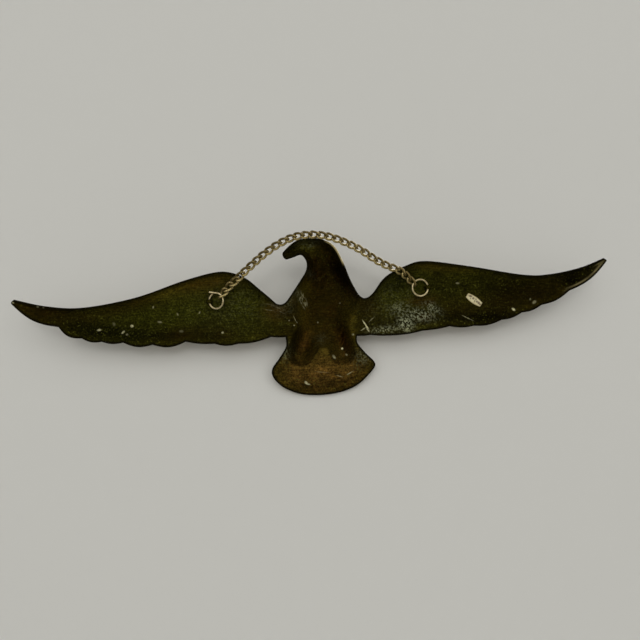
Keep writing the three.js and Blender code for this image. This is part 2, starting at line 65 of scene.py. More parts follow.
# Small feathers in rows, on the wing and on the body, by how many lie across and how their relief is shaped.
COVERTS = {"across": 3, "rows": 4, "dip": 0.55, "sunk": 0.55, "rise": 0.75, "crown": 0.3}
BODY_FEATHERS = {"across": 13, "length": 5.2, "dip": 0.6, "rise": 0.95, "crown": 0.45, "shaft": 0.18,
                 "first_row": 40}
SHAFT_WIDTH = {"wing": 0.035, "body": 0.07, "tail": 0.045}
# How far the rows of body feathers run over the body, the head and the tail, and where the bare face starts.
FEATHERED = {"body": 30, "head": 72, "tail": 34, "bare": 0.62, "fade": 0.16}
SIDE_FADE = (0.03, 0.16)
TAIL_FEATHERS = 6
TAIL_MARGIN = 4.8
TAIL_LENGTH = 46
SWEEP = {"share": 0.26, "power": 16}
TIP_BULGE = 1.8
BEAK_BULGE = 2.4
NECK_SAG = 6.0

# The outline: each wing's upper edge and the valleys between the tips of its feathers, with how far each
# feather bulges past its chord, then the sides of the head and tail.
UPPER_EDGE = {
    1: [(34, 7.1), (36.8, 8.1), (39.4, 10.6), (42.8, 14.1), (51, 22), (61, 31.2), (74, 37.2), (88, 38),
        (115, 32.4), (155, 21.2), (198, 16), (228, 19.3), (252.9, 26.5)],
    -1: [(38.7, 7.6), (41.3, 7.9), (44.4, 9.6), (48.2, 13.2), (54.9, 21.4), (62.3, 27.1), (76, 32.8),
         (94, 36), (133, 28.9), (180, 18.4), (205, 17.3), (233, 21.4), (253.8, 28.2)],
}
LOWER_EDGE = {
    1: [(31.2, -21, 0), (43.5, -19.9, 0.3), (71.5, -23.7, 1.6), (91.5, -22.2, 1.7), (115.5, -18.7, 0.9),
        (143, -19.2, 3.3), (167, -15.6, 2.8), (184.5, -13.6, 1.5), (200.5, -9.6, 1.8), (218.7, 1.2, 3.4),
        (254.2, 21.8, 4.3)],
    -1: [(30, -24.4, 0), (42, -24.6, 0.3), (64, -26.4, 0.5), (87, -24.2, 0.7), (111.5, -22.1, 0.6),
         (133, -23.2, 1.3), (158, -19.8, 1.9), (176.3, -14.8, 1.5), (194.7, -9.3, 1.5), (220.5, 1.3, 2.3),
         (255.7, 24.2, 3.4)],
}
THROAT = [(34, 7.1), (31.2, 7.5), (28.4, 9.4), (25, 13.4), (17.5, 23.3), (10.4, 33.2), (8.6, 39.6),
          (9.9, 44.8), (13.2, 48.2), (19.2, 46.6), (24.7, 45.2)]
NAPE = [(-38.7, 7.6), (-36.2, 8.8), (-33.2, 12.6), (-27.6, 24.9), (-22.4, 40.6), (-15.6, 54.3),
        (-4.6, 60.8), (6, 62), (15.3, 60.8), (22.4, 56.7), (27.6, 51.9)]
TAIL_RIGHT = [(31.2, -21), (31.4, -29), (37.5, -38.1), (43.4, -45.3), (45, -49)]
TAIL_LEFT = [(-30, -24.4), (-30.2, -30.5), (-36.6, -39.6), (-42.4, -45.9), (-44.1, -49.2)]
TAIL_END = [(45, -49), (44.9, -52), (42, -57.8), (34, -64.9), (20, -70.8), (2, -72.6), (-15, -70.9),
            (-28.5, -65.8), (-38.2, -57.9), (-43.4, -52.3), (-44.1, -49.2)]
# The round forms of body and legs, each a run of (x, z, radius, height).
TORSO = [(-1, -10, 23, 23), (-5, 6, 29, 25), (-9, 27, 27, 22), (-7, 44, 22, 18), (8, 54, 16, 14),
         (24, 50, 12, 9)]
RIGHT_THIGH = [(8, -14, 13, 19), (14, -26, 12.5, 18), (19.5, -35.6, 11.5, 13)]
LEFT_THIGH = [(-11, -14, 13, 19), (-14.5, -27, 12, 18), (-17, -38, 10.8, 13)]
FORM_FULLNESS = 0.65
FORM_BLEND = 5.0
FOOT_FALL = 20.0

# The face: the eye and brow, each (x, z, half-length, half-width, height, tilt), the beak's lines and feet.
EYE = (6.4, 51.8, 2.7, 2.3, 1.5, 0)
BROW = (7.2, 55.2, 6.2, 1.6, 1.4, -12)
FEET = [(19.5, -47.2), (-17, -48.4)]
TOE = {"spread": 34, "reach": 6.5, "half_length": 6.8, "half_width": 2.3, "height": 2.1, "middle": 2.6}
MOUTH = [(10.2, 49.6), (14, 50.7), (18.5, 50.1), (22, 48.2), (23.6, 45.6)]
BEAK_ROOT = [(13.6, 50.4), (15.4, 53.5), (15.6, 57), (14.2, 60.6)]
NOSTRIL = (18.3, 53.9, 1.3, 0.6, -28)
BEAK_CUTS = {"mouth": 0.6, "mouth_width": 0.6, "root": 0.35, "root_width": 0.55, "nostril": 0.5}
CHEEK_REACH = 5
LID = {"wire": 0.55, "raised": 0.25, "outside": (0.2, 0.1), "eye_share": 0.8}
BROW_RAISED = 0.6
# Each toe's joints, as (place along it, share of its width), and its claw.
JOINTS = ((-1, 1.0), (0, 0.92), (1, 0.84))
JOINT = {"step": 0.55, "length": 0.45}
CLAW = {"beyond": 0.6, "half_length": 2.7, "half_width": 0.9, "height": 1.6}
# The cast surface's lumps, each (height, size, seed), a pit in the back as (x, z, radius, depth, power), and
# the painted shade line round the legs.
FACE_LUMPS = (0.12, 9, 3)
BACK_LUMPS = ((0.3, 17, 11), (0.16, 8, 12), (0.07, 3.6, 13))
BACK_PIT = (-1.1, 43.2, 2.0, 0.9, 0.7)
LEG_CREASE_SHADE = {"height": 1.9, "half_width": 0.9, "start": 24, "full": 34}

# The open rings and the chain. RING_WIRE is the solids' wire, and RING_WIRE_SHOWN the wire as it is drawn.
RING_WIRE = 1.45
RING_WIRE_SHOWN = 1.6
RINGS = {
    "right_ring": {"lug": (93.5, -3.6, 14), "radius": 6.6, "side": 1, "lift": 25, "chain": 142,
                   "start": 62, "turn": 322, "spring": 7},
    "left_ring": {"lug": (-95.5, -3.6, 13.2), "radius": 7.15, "side": -1, "lift": 8, "chain": 34,
                  "start": 163, "turn": 350, "spring": 0},
}
SPRING_LEAN = 0.25
LUG = {"hole": 1.5, "wall": 1.2, "thickness": 3.2, "sunk": 1.5, "soft": 0.35}
LINKS = 29
LINK_WIRE = 2.15
LINK = {"half_length": 4.75, "half_width": 2.5, "twist": 61}
LINK_ROLL = 30
CHAIN_END = {"clearance": 0.525, "roll": 38, "rolled_links": 4}
CHAIN_LINE = [(75, 2, 25.8), (68, 2.2, 31.4), (61.5, 2.4, 37), (53.5, 2.3, 43.5), (46, 2.2, 49.3),
              (32.5, 2.5, 57.7), (19.3, 3, 62.9), (5, 3.2, 64.4), (-9, 3.2, 62.5), (-22, 3, 57.6),
              (-38, 2.4, 48.8), (-51, 2.3, 39.2), (-61.5, 2.7, 33), (-68.6, 2.8, 29.8), (-75, 1.4, 25)]
# How many points or sides each curve is drawn with.
DETAIL = {"lug": 48, "lid": 40, "lid_wire": 10, "ring": 90, "ring_wire": 16, "bend": 15, "straight": 5,
          "link_wire": 12, "chain": 200}
LABEL = {"x": -135.7, "z": -0.7, "length": 14.8, "width": 6.4, "end_share": 0.64, "thickness": 0.28,
         "tilt": 39.5, "lift": 0.15, "grid": (57, 25)}
# Worn blots on the sticker, each (along, across, half-length, half-width, tilt, strength).
BLOTS = [(4.5, 1.0, 1.8, 0.95, -18, 1.0), (3.4, -0.6, 1.0, 0.6, 60, 0.6), (1.3, 0.8, 1.1, 1.1, 0, 0.9),
         (-1.1, 1.4, 1.0, 0.7, 30, 0.7), (-0.9, -0.4, 1.3, 0.6, 70, 0.7), (-2.8, 0.2, 1.1, 0.9, 80, 0.9),
         (-4.7, 0.2, 1.4, 1.2, 20, 1.0), (-6.2, -0.2, 0.9, 1.0, 0, 1.0)]


# Curves and forms
def catmull(points, shares):
    """A uniform Catmull-Rom line through the points, at shares of the way along its parameter."""
    points = np.asarray(points, float)
    last = len(points) - 1
    place = np.clip(np.asarray(shares, float), 0, 1) * last
    k = np.minimum(place.astype(int), last - 1)
    w = (place - k)[..., None]
    before, a = points[np.maximum(k - 1, 0)], points[k]
    b, after = points[k + 1], points[np.minimum(k + 2, last)]
    out, into = (b - before) / 2, (after - a) / 2
    return (2 * a - 2 * b + out + into) * w ** 3 + (3 * b - 3 * a - 2 * out - into) * w ** 2 + out * w + a


class Line:
    """A Catmull-Rom line by share of its length."""

    def __init__(self, points):
        self.points = np.asarray(points, float)
        self.steps = np.linspace(0, 1, 2001)
        gaps = np.linalg.norm(np.diff(catmull(self.points, self.steps), axis=0), axis=1)
        self.arc = np.concatenate([[0], np.cumsum(gaps)])

    def at(self, share):
        return catmull(self.points, np.interp(np.asarray(share) * self.arc[-1], self.arc, self.steps))


def unit(v):
    return v / np.linalg.norm(v, axis=-1, keepdims=True)


def smoothstep(x, low, high):
    t = np.clip((x - low) / (high - low), 0, 1)
    return t * t * (3 - 2 * t)


def smooth_max(a, b, blend):
    near = np.maximum(blend - np.abs(a - b), 0)
    return np.maximum(a, b) + near * near / (4 * blend)


def quarter(distance, width):
    """A quarter-round rise from 0 to 1 over the width."""
    q = 1 - np.clip(distance / width, 0, 1)
    return np.sqrt(1 - q * q)


def lower_point(valleys, column):
    """A point of a wing's lower edge: whole columns are valleys, and between them a feather's tip bulges."""
    k = np.minimum(column.astype(int), FEATHERS - 1)
    q = (column - k)[:, None]
    valleys = np.asarray(valleys, float)
    inner, outer = valleys[k, :2], valleys[k + 1, :2]
    chord = outer - inner
    outward = unit(np.stack([chord[:, 1], -chord[:, 0]], 1))
    return inner + chord * q + outward * valleys[k + 1, 2:] * np.sin(np.pi * q)


class Wing:
    def __init__(self, side):
        self.side = side
        self.upper = Line(UPPER_EDGE[side])
        self.valleys = LOWER_EDGE[side]
        even = np.linspace(0, 1, 400)
        self.upper_points = catmull(UPPER_EDGE[side], even)
        self.lower_points = catmull([v[:2] for v in self.valleys], even)

    def ends(self, column):
        share = column / FEATHERS
        top = self.upper.at((1 - SWEEP["share"]) * share + SWEEP["share"] * share ** SWEEP["power"])
        bottom = lower_point(self.valleys, column)
        flip = np.array([self.side, 1])
        return top * flip, bottom * flip


WINGS = {side: Wing(side) for side in (1, -1)}


def wing_arch(x, z):
    """How far the wings' arch stands in front of the rim."""
    out = np.abs(x)
    arch = np.zeros_like(out)
    crest, tip_crest, share_there = WING_ARCH["crest"], WING_ARCH["tip_crest"], WING_ROOT["crest_share"]
    for side, wing in WINGS.items():
        top = np.interp(out, wing.upper_points[:, 0], wing.upper_points[:, 1])
        bottom = np.interp(out, wing.lower_points[:, 0], wing.lower_points[:, 1])
        share = np.clip((top - z) / np.maximum(top - bottom, 1), 0, 1)
        fallen = np.clip((out - WING_ARCH["fall_start"]) / WING_ARCH["fall_length"], 0, 1)
        height = crest + (tip_crest - crest) * fallen ** WING_ARCH["fall_power"]
        root = smoothstep(out, WING_ROOT["inner"], WING_ROOT["outer"])
        lean = 1 + (WING_ARCH["lean"] - 1) * root
        size = share_there + (1 - share_there) * root
        arch = np.where(x * side > 0, size * height * np.sin(np.pi * share ** lean), arch)
    return arch


FORMS = [catmull(run, np.linspace(0, 1, 31)) for run in (TORSO, RIGHT_THIGH, LEFT_THIGH)]


def ridge(run, x, z):
    """The height of a round form over each point, and its fall outside the form."""
    best = np.full(x.shape, -np.inf)
    for a, b in zip(run[:-1], run[1:]):
        d = b[:2] - a[:2]
        share = np.clip(((x - a[0]) * d[0] + (z - a[1]) * d[1]) / (d @ d), 0, 1)
        middle = a + (b - a) * share[:, None]
        q = np.hypot(x - middle[:, 0], z - middle[:, 1]) / middle[:, 2]
        round_top = middle[:, 3] * np.maximum(1 - q * q, 0) ** FORM_FULLNESS
        best = np.maximum(best, np.where(q < 1, round_top, FOOT_FALL * (1 - q)))
    return best


def form(x, z):
    height = WALL + wing_arch(x, z)
    for run in FORMS:
        height = smooth_max(height, ridge(run, x, z), FORM_BLEND)
    return height


def value_noise(x, z, size, seed):
    """Smooth noise from -1 to 1 whose lumps are about the given size."""
    cells = 64
    lattice = np.random.default_rng(seed).uniform(-1, 1, (cells, cells))
    u, v = x / size + cells / 2, z / size + cells / 2
    i, j = np.floor(u).astype(int), np.floor(v).astype(int)
    fu, fv = u - i, v - j
    fu, fv = fu * fu * (3 - 2 * fu), fv * fv * (3 - 2 * fv)
    corner = lambda di, dj: lattice[(i + di) % cells, (j + dj) % cells]
    low = corner(0, 0) * (1 - fu) + corner(1, 0) * fu
    high = corner(0, 1) * (1 - fu) + corner(1, 1) * fu
    return low * (1 - fv) + high * fv


# The casting's plan: grids of points over the wings, body, head and tail. The rows next to the outline lie at
# these distances from it, close together where the rim rolls over, and take up EDGE_SHARE of a line at most.
EDGE_ROWS = np.array([0, 0.12, 0.3, 0.55, 0.9, 1.3, 1.7, 2.0, 2.5, 3.3, 4.6, 6.4])
EDGE_SHARE = {"across": 0.2, "wing": 0.16}
ACROSS = 46
WING_ROWS = (9, 2, 9, 2, 13)
STEP_GAP = {"width": 0.35, "share": 0.012}
WING_COLUMNS = {"feather": 28, "last": 26}
WING_TIP = 1 - np.array([2.4, 1.7, 1.15, 0.7, 0.4, 0.15, 0]) / 40
HEAD_ROWS = 50
BEAK_TIP = 0.95 + 0.05 * np.array([0, 0.2, 0.4, 0.58, 0.73, 0.85, 0.94, 1])
TAIL_ROWS = 38
TAIL_TIP = 1 - np.array([6.4, 4.6, 3.3, 2.5, 1.9, 1.5, 1.1, 0.75, 0.45, 0.2, 0]) / TAIL_LENGTH


def edge_rows(length, most):
    return EDGE_ROWS[None, :] * np.minimum(1 / length, most / EDGE_ROWS[-1])[:, None]


def rows_to(tip, count):
    """Shares from 0 to 1, even at first and then close together at the round end of a tip."""
    return np.concatenate([np.linspace(0, tip[0], count)[:-1], tip])


def across_shares(length):
    """Shares along lines of these lengths, close together at both ends, where the rim is."""
    rows = edge_rows(length, EDGE_SHARE["across"])
    inner = np.linspace(0, 1, ACROSS + 1)[None, 1:-1]
    middle = rows[:, -1:] + (1 - 2 * rows[:, -1:]) * inner
    return np.concatenate([rows, middle, 1 - rows[:, ::-1]], axis=1)


def second_row(column):
    return SECOND_ROW - SECOND_DIP * (1 - np.sin(np.pi * np.mod(column, 1)))


def wing_shares(length, column):
    """Shares down a wing's columns, close together at its edges and at the steps between feather rows."""
    rows = edge_rows(length, EDGE_SHARE["wing"])
    gap = np.minimum(STEP_GAP["width"] / length, STEP_GAP["share"])[:, None]
    first = np.full_like(gap, FIRST_ROW)
    second = second_row(column)[:, None]
    stops = [rows[:, -1:], first - gap, first + gap, second - gap, second + gap, 1 - rows[:, -1:]]
    parts = [rows]
    for low, high, count in zip(stops, stops[1:], WING_ROWS):
        parts.append(low + (high - low) * (np.arange(1, count + 1) / count)[None, :])
    parts.append(1 - rows[:, -2::-1])
    return np.concatenate(parts, axis=1)


def scales(u, v, dip):
    """Overlapping feathers in staggered rows. Returns each point's share of the way from its feather's
    root to its tip, and its place across that feather from 0 to 1."""
    row = np.floor(v)

    def feather(r):
        q = np.mod(u + 0.5 * np.mod(r, 2), 1)
        return q, r + 1 - dip * (2 * q - 1) ** 2

    end = feather(row)[1]
    row = np.where(v < end, row, row + 1)
    q, end = feather(row)
    return np.clip(v - (end - 1), 0, 1), q


def shaft(q, half_width):
    return np.exp(-((q - 0.5) / half_width) ** 2)


def wing_block(side):
    """A wing: columns of points along its feathers, with the relief of its three rows of feathers."""
    wing = WINGS[side]
    last = FEATHERS - 1
    even = np.arange(last * WING_COLUMNS["feather"]) / WING_COLUMNS["feather"]
    column = np.concatenate([even, last + rows_to(WING_TIP, WING_COLUMNS["last"])])
    top, bottom = wing.ends(column)
    length = np.linalg.norm(bottom - top, axis=1)
    t = wing_shares(length, column)
    place = top[:, None, :] + (bottom - top)[:, None, :] * t[..., None]
    swell = np.clip((column - FEATHERS + 0.25) * 4, 0, 1)
    place[..., 0] += side * TIP_BULGE * swell[:, None] * np.sin(np.pi * t)

    q = np.broadcast_to(np.mod(column, 1)[:, None], t.shape)
    size = np.clip(length / 30, 0.25, 1)[:, None]
    second = second_row(column)[:, None]
    from_root = smoothstep(column, 0, 0.5)[:, None]
    side_fall = np.abs(2 * q - 1) ** 3
    coverts, covert_q = scales(COVERTS["across"] * column[:, None] + 0 * t, COVERTS["rows"] * t / FIRST_ROW,
                               COVERTS["dip"])
    rise = np.clip(t / FIRST_ROW, 0, 1)
    first_relief = ROW_STEP * (1 + rise ** 2) - COVERTS["sunk"] + COVERTS["rise"] * coverts ** 2
    first_relief -= COVERTS["crown"] * (2 * covert_q - 1) ** 2
    along = np.clip((t - FIRST_ROW) / (second - FIRST_ROW), 0, 1)
    quill = shaft(q, SHAFT_WIDTH["wing"])
    second_relief = ROW_STEP * along ** 2 - GROOVE * 0.5 * side_fall + 0.35 * quill
    third_relief = -GROOVE * side_fall + 0.4 * quill * (1 - 0.5 * t)
    in_first, in_second = t <= FIRST_ROW, t <= second
    relief = np.where(in_first, first_relief, np.where(in_second, second_relief, third_relief))
    barbs = np.where(in_first, np.abs(2 * covert_q - 1), np.abs(2 * q - 1))
    wear = np.where(in_first, coverts ** 2, np.where(in_second, along ** 2, 0.35 + 0.4 * t))
    barbs = np.stack([barbs, t * length[:, None], from_root * np.ones_like(t)], -1)
    return place, relief * size * from_root, wear * (1 - 0.6 * side_fall) * from_root, barbs, side < 0


def body_feathers(s, down_mm, strength):
    """Small feathers over the neck and breast: s runs across, down_mm down from the throat."""
    row = down_mm / BODY_FEATHERS["length"] + BODY_FEATHERS["first_row"]
    tips, q = scales(BODY_FEATHERS["across"] * s, row, BODY_FEATHERS["dip"])
    relief = BODY_FEATHERS["rise"] * tips ** 1.8 - BODY_FEATHERS["crown"] * (2 * q - 1) ** 2
    relief = (relief + BODY_FEATHERS["shaft"] * shaft(q, SHAFT_WIDTH["body"])) * strength
    barbs = np.stack([np.abs(2 * q - 1), down_mm + 0 * s, strength + 0 * s], -1)
    return relief, tips ** 2 * strength, barbs


def across_block(a, b, sag):
    """Rows of points from each a to each b, which sag in their middle."""
    s = across_shares(np.linalg.norm(b - a, axis=1))
    place = a[:, None, :] + (b - a)[:, None, :] * s[..., None]
    place[..., 1] -= sag[:, None] * (1 - (2 * s - 1) ** 4)
    return s, place


def side_fade(s):
    return smoothstep(s, *SIDE_FADE) * smoothstep(1 - s, *SIDE_FADE)


def body_block():
    """The body between the two wing roots, whose rows go on across it."""
    roots = []
    for side in (1, -1):
        column = np.zeros(1)
        top, bottom = WINGS[side].ends(column)
        t = wing_shares(np.linalg.norm(bottom - top, axis=1), column)[0]
        roots.append(top + (bottom - top) * t[:, None])
    s, place = across_block(roots[0], roots[1], NECK_SAG * (1 - t))
    return place, *body_feathers(s, (FEATHERED["body"] * t)[:, None], side_fade(s)), False


def head_block():
    """The neck and head up to the beak's tip, in rows from throat to nape."""
    throat, nape = Line(THROAT), Line(NAPE)
    share = rows_to(BEAK_TIP, HEAD_ROWS)
    a, b = throat.at(share), nape.at(share)
    s, place = across_block(a, b, NECK_SAG * (1 - share) ** 4)
    outward = unit(np.stack([(b - a)[:, 1], (a - b)[:, 0]], 1))
    swell = np.clip(11 * share - 10, 0, 1)[:, None]
    round_end = BEAK_BULGE * swell * np.sqrt(np.maximum(1 - (2 * s - 1) ** 2, 0))
    place += outward[-1] * round_end[..., None]
    strength = side_fade(s) * smoothstep(FEATHERED["bare"] - share, 0, FEATHERED["fade"])[:, None]
    return place, *body_feathers(s, (-FEATHERED["head"] * share)[:, None], strength), True


def tail_block():
    """The tail, in rows that bend towards its round end, with the last of the body on it."""
    right, left, end = Line(TAIL_RIGHT), Line(TAIL_LEFT), Line(TAIL_END)
    share = rows_to(TAIL_TIP, TAIL_ROWS)
    a, b = right.at(share), left.at(share)
    s, place = across_block(a, b, 0 * share)
    sag = end.at(s) - (a[-1] + (b[-1] - a[-1]) * s[..., None])
    place += sag * (share ** 2)[:, None, None]
    width = np.linalg.norm(b - a, axis=1)[:, None]
    inner = (s * width - TAIL_MARGIN) / (width - 2 * TAIL_MARGIN)
    q = np.mod(TAIL_FEATHERS * np.clip(inner, -0.15, 1.15) + 0.5, 1)
    x, z = place[..., 0].ravel(), place[..., 1].ravel()
    on_body = smoothstep(np.max([ridge(run, x, z) for run in FORMS], axis=0).reshape(s.shape), 3, 7)
    fan = smoothstep(share, 0.12, 0.4)[:, None] * (1 - on_body)
    down = (FEATHERED["body"] + FEATHERED["tail"] * share)[:, None]
    body, body_wear, _ = body_feathers(s, down, on_body * side_fade(s))
    side_fall = np.abs(2 * q - 1)
    tail = (-TAIL_GROOVE * side_fall ** 4 + 0.4 * shaft(q, SHAFT_WIDTH["tail"])) * fan
    barbs = np.stack([side_fall, TAIL_LENGTH * share[:, None] + 0 * s, fan], -1)
    wear = body_wear + fan * (0.3 + 0.5 * share[:, None]) * (1 - side_fall ** 3)
    return place, body * 0.8 + tail, wear, barbs, False


def weld(blocks):
    """Joins the blocks' grids along their shared edges into one plan."""
    steps_per_mm = 200
    points, data, quads, index = [], [], [], {}
    for place, relief, wear, barbs, flip in blocks:
        flat = place.reshape(-1, 2)
        extra = np.concatenate([relief.reshape(-1, 1), wear.reshape(-1, 1), barbs.reshape(-1, 3)], 1)
        keys = np.round(flat * steps_per_mm).astype(int)
        ids = np.empty(len(flat), int)
        for k, key in enumerate(map(tuple, keys)):
            if key not in index:
                index[key] = len(points)
                points.append(flat[k])
                data.append(extra[k])
            ids[k] = index[key]
        ids = ids.reshape(place.shape[:2])
        corners = [ids[:-1, :-1], ids[:-1, 1:], ids[1:, 1:], ids[1:, :-1]]
        if flip:
            corners.reverse()
        quads.append(np.stack([c.ravel() for c in corners], 1))
    return np.array(points), np.array(data), np.concatenate(quads)


def free_edges(quads):
    """The edges that only one quad has, which run round the outline."""
    edges = np.concatenate([quads[:, [k, (k + 1) % 4]] for k in range(4)])
    edges = edges[edges[:, 0] != edges[:, 1]]
    there = set(map(tuple, edges))
    return np.array([e for e in edges if (e[1], e[0]) not in there])


def distance_to(points, starts, ends):
    """Each point's distance to the nearest of the straight pieces, a batch of points at a time."""
    batch = 1500
    best = np.full(len(points), np.inf)
    span = ends - starts
    length2 = np.maximum((span ** 2).sum(1), 1e-12)
    for k in range(0, len(points), batch):
        p = points[k:k + batch, None, :]
        share = np.clip(((p - starts) * span).sum(2) / length2, 0, 1)
        gap = p - starts - span * share[..., None]
        best[k:k + batch] = np.sqrt((gap ** 2).sum(2)).min(1)
    return best


def turned(u, v, tilt):
    """A place u along and v across a direction that is tilted by so many degrees."""
    c, s = math.cos(math.radians(tilt)), math.sin(math.radians(tilt))
    return u * c - v * s, u * s + v * c


def capsule(x, z, mark):
    """How far out of an oval mark each point is: 0 at its middle and 1 on its border."""
    middle_x, middle_z, half_length, half_width, tilt = mark
    u, v = turned(x - middle_x, z - middle_z, -tilt)
    return np.hypot(u / half_length, v / half_width)


def line_groove(x, z, points, width):
    line = catmull(points, np.linspace(0, 1, 24))
    gap = distance_to(np.stack([x, z], 1), line[:-1], line[1:])
    return np.exp(-(gap / width) ** 2)


def beak_lines(x, z):
    """How deep the beak's mouth, its root and its nostril are cut into the face."""
    mouth = BEAK_CUTS["mouth"] * line_groove(x, z, MOUTH, BEAK_CUTS["mouth_width"])
    root = BEAK_CUTS["root"] * line_groove(x, z, BEAK_ROOT, BEAK_CUTS["root_width"])
    return mouth + root + BEAK_CUTS["nostril"] * np.exp(-capsule(x, z, NOSTRIL) ** 2)


def hollow_depth(x, z, d=FAR_INSIDE):
    """How deep the back is hollowed at distance d from the outline."""
    soft = quarter(d - RIM, BACK_ROLL)
    soft = soft * soft / (soft + BACK_FILLET)
    return np.maximum(form(x, z) - WALL, 0) * soft


def shell_mesh():
    """The casting between its face and its hollow back, with the values that its material reads."""
    points, data, quads = weld([wing_block(1), wing_block(-1), body_block(), head_block(), tail_block()])
    x, z = points.T
    edges = free_edges(quads)
    d = distance_to(points, points[edges[:, 0]], points[edges[:, 1]])
    height, size, seed = FACE_LUMPS
    over = form(x, z) - beak_lines(x, z) + data[:, 0] + height * value_noise(x, z, size, seed)
    front = EDGE + (over - EDGE) * quarter(d, FACE_ROLL)
    lumps = sum(height * value_noise(x, z, size, seed) for height, size, seed in BACK_LUMPS)
    pit_x, pit_z, radius, depth, power = BACK_PIT
    pit = depth * np.maximum(1 - np.hypot(x - pit_x, z - pit_z) / radius, 0) ** power
    curl = RIM_ROUND - np.sqrt(RIM_ROUND ** 2 - np.maximum(RIM_ROUND - d, 0) ** 2)
    back = hollow_depth(x, z, d) + lumps * smoothstep(d, RIM, RIM + BACK_ROLL) + pit + curl
    front = np.maximum(front, back + THINNEST)
    count = len(points)
    verts = np.concatenate([np.stack([x, -front, z], 1), np.stack([x, -back, z], 1)])
    wall = np.stack([edges[:, 1], edges[:, 0], edges[:, 0] + count, edges[:, 1] + count], 1)
    faces = np.concatenate([quads, quads[:, ::-1] + count, wall])
    rises = np.max([ridge(run, x, z) for run in FORMS], axis=0)
    # A painted shade line along the lower ends of the leg hollows, where the legs' rise meets the tail.
    crease = np.exp(-((rises - LEG_CREASE_SHADE["height"]) / LEG_CREASE_SHADE["half_width"]) ** 2)
    none = np.zeros(count)
    return verts, faces, {
        "back": np.concatenate([none, none + 1]),
        "edge": np.concatenate([d, d]),
        "crease": np.concatenate([none, crease * smoothstep(-z, LEG_CREASE_SHADE["start"], LEG_CREASE_SHADE["full"])]),
        "wear": np.concatenate([np.clip(data[:, 1], 0, 1), none]),
        "barbs": np.concatenate([data[:, 2:5], np.zeros((count, 3))]),
    }


def wrapped_faces(rows, columns, closed=True):
    """Quads between rows of points that are each a ring, and from the last row to the first if closed."""
    row, column = np.meshgrid(np.arange(rows if closed else rows - 1), np.arange(columns), indexing="ij")
    at = lambda j, k: (j % rows) * columns + k % columns
    quad = [at(row, column), at(row, column + 1), at(row + 1, column + 1), at(row + 1, column)]
    return np.stack(quad, -1).reshape(-1, 4)


def lug_mesh(ring):
    """A small drilled tab, round on top, sunk into the floor of the wing's back."""
    x, y, z = ring["lug"]
    foot = -hollow_depth(np.array([x]), np.array([z]))[0] - LUG["sunk"] - y
    reach, half, soft = LUG["hole"] + LUG["wall"], LUG["thickness"] / 2, LUG["soft"]
    angles = np.linspace(0, 2 * np.pi, DETAIL["lug"], endpoint=False)
    c, s = np.cos(angles), np.sin(angles)
    down = np.minimum(reach / np.maximum(np.abs(c), 1e-9), foot / np.minimum(s, -1e-9))
    away = np.stack([c, s], 1)
    inner, outer = away * LUG["hole"], away * np.where(s >= 0, reach, down)[:, None]
    corner = [(0, soft), (0.1, soft * 0.35), (soft, 0)]
    sections = [(inner + away * inside, depth - half) for inside, depth in corner]
    sections += [(outer - away * inside, depth - half) for inside, depth in corner[::-1]]
    sections += [(outer - away * inside, half - depth) for inside, depth in corner]
    sections += [(inner + away * inside, half - depth) for inside, depth in corner[::-1]]
    verts = [np.stack([p[:, 0] + x, p[:, 1] + y, np.full(len(p), h) + z], 1) for p, h in sections]
    return np.concatenate(verts), wrapped_faces(len(sections), len(angles))


# Objects
def add_to_scene(name, data):
    obj = bpy.data.objects.new(name, data)
    bpy.context.scene.collection.objects.link(obj)
    return obj


def make_object(name, verts, faces, values, slot, replaces, material):
    """A piece of the part, with the values that its material reads on its points."""
    mesh = bpy.data.meshes.new(name)
    corners = [tuple(dict.fromkeys(map(int, face))) for face in faces]
    mesh.from_pydata(((verts - HANG) * MM).tolist(), [], [c for c in corners if len(c) > 2])
    for key, value in values.items():
        kind, field = ("FLOAT_VECTOR", "vector") if np.ndim(value) == 2 else ("FLOAT", "value")
        layer = mesh.attributes.new(key, kind, "POINT")
        layer.data.foreach_set(field, np.asarray(value, np.float32).ravel())
    mesh.shade_smooth()
    mesh.update()
    mesh.materials.append(material)
    obj = add_to_scene(name, mesh)
    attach(obj, "root")
    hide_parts(replaces)


DOME = {"angles": np.array([28, 55, 80]), "height": 0.6}


def tube(path, radius, sides, closed=False):
    """Round wire along a path, with domed ends if it is open."""
    path = np.asarray(path, float)
    last = len(path) - 1
    ahead = np.roll(path, -1, 0) - np.roll(path, 1, 0)
    if not closed:
        ahead[0], ahead[last] = path[1] - path[0], path[last] - path[last - 1]
    ahead = unit(ahead)
    across = unit(np.cross(ahead[0], (0, 1, 0)))
    angles = np.linspace(0, 2 * np.pi, sides, endpoint=False)
    rings = []
    for k, (p, t) in enumerate(zip(path, ahead)):
        across = unit(across - t * (across @ t))
        circle = np.cos(angles)[:, None] * across + np.sin(angles)[:, None] * np.cross(t, across)
        before = -DOME["angles"][::-1] if k == 0 and not closed else []
        after = DOME["angles"] if k == last and not closed else []
        for a in np.radians([*before, 0, *after]):
            rings.append(p + t * radius * DOME["height"] * math.sin(a) + circle * radius * math.cos(a))
    faces = wrapped_faces(len(rings), sides, closed).tolist()
    if not closed:
        first = (len(rings) - 1) * sides
        faces += [list(range(sides))[::-1], list(range(first, first + sides))]
    return np.concatenate(rings), faces


BEAD = {"rings": 11, "sides": 24, "pole": 82}


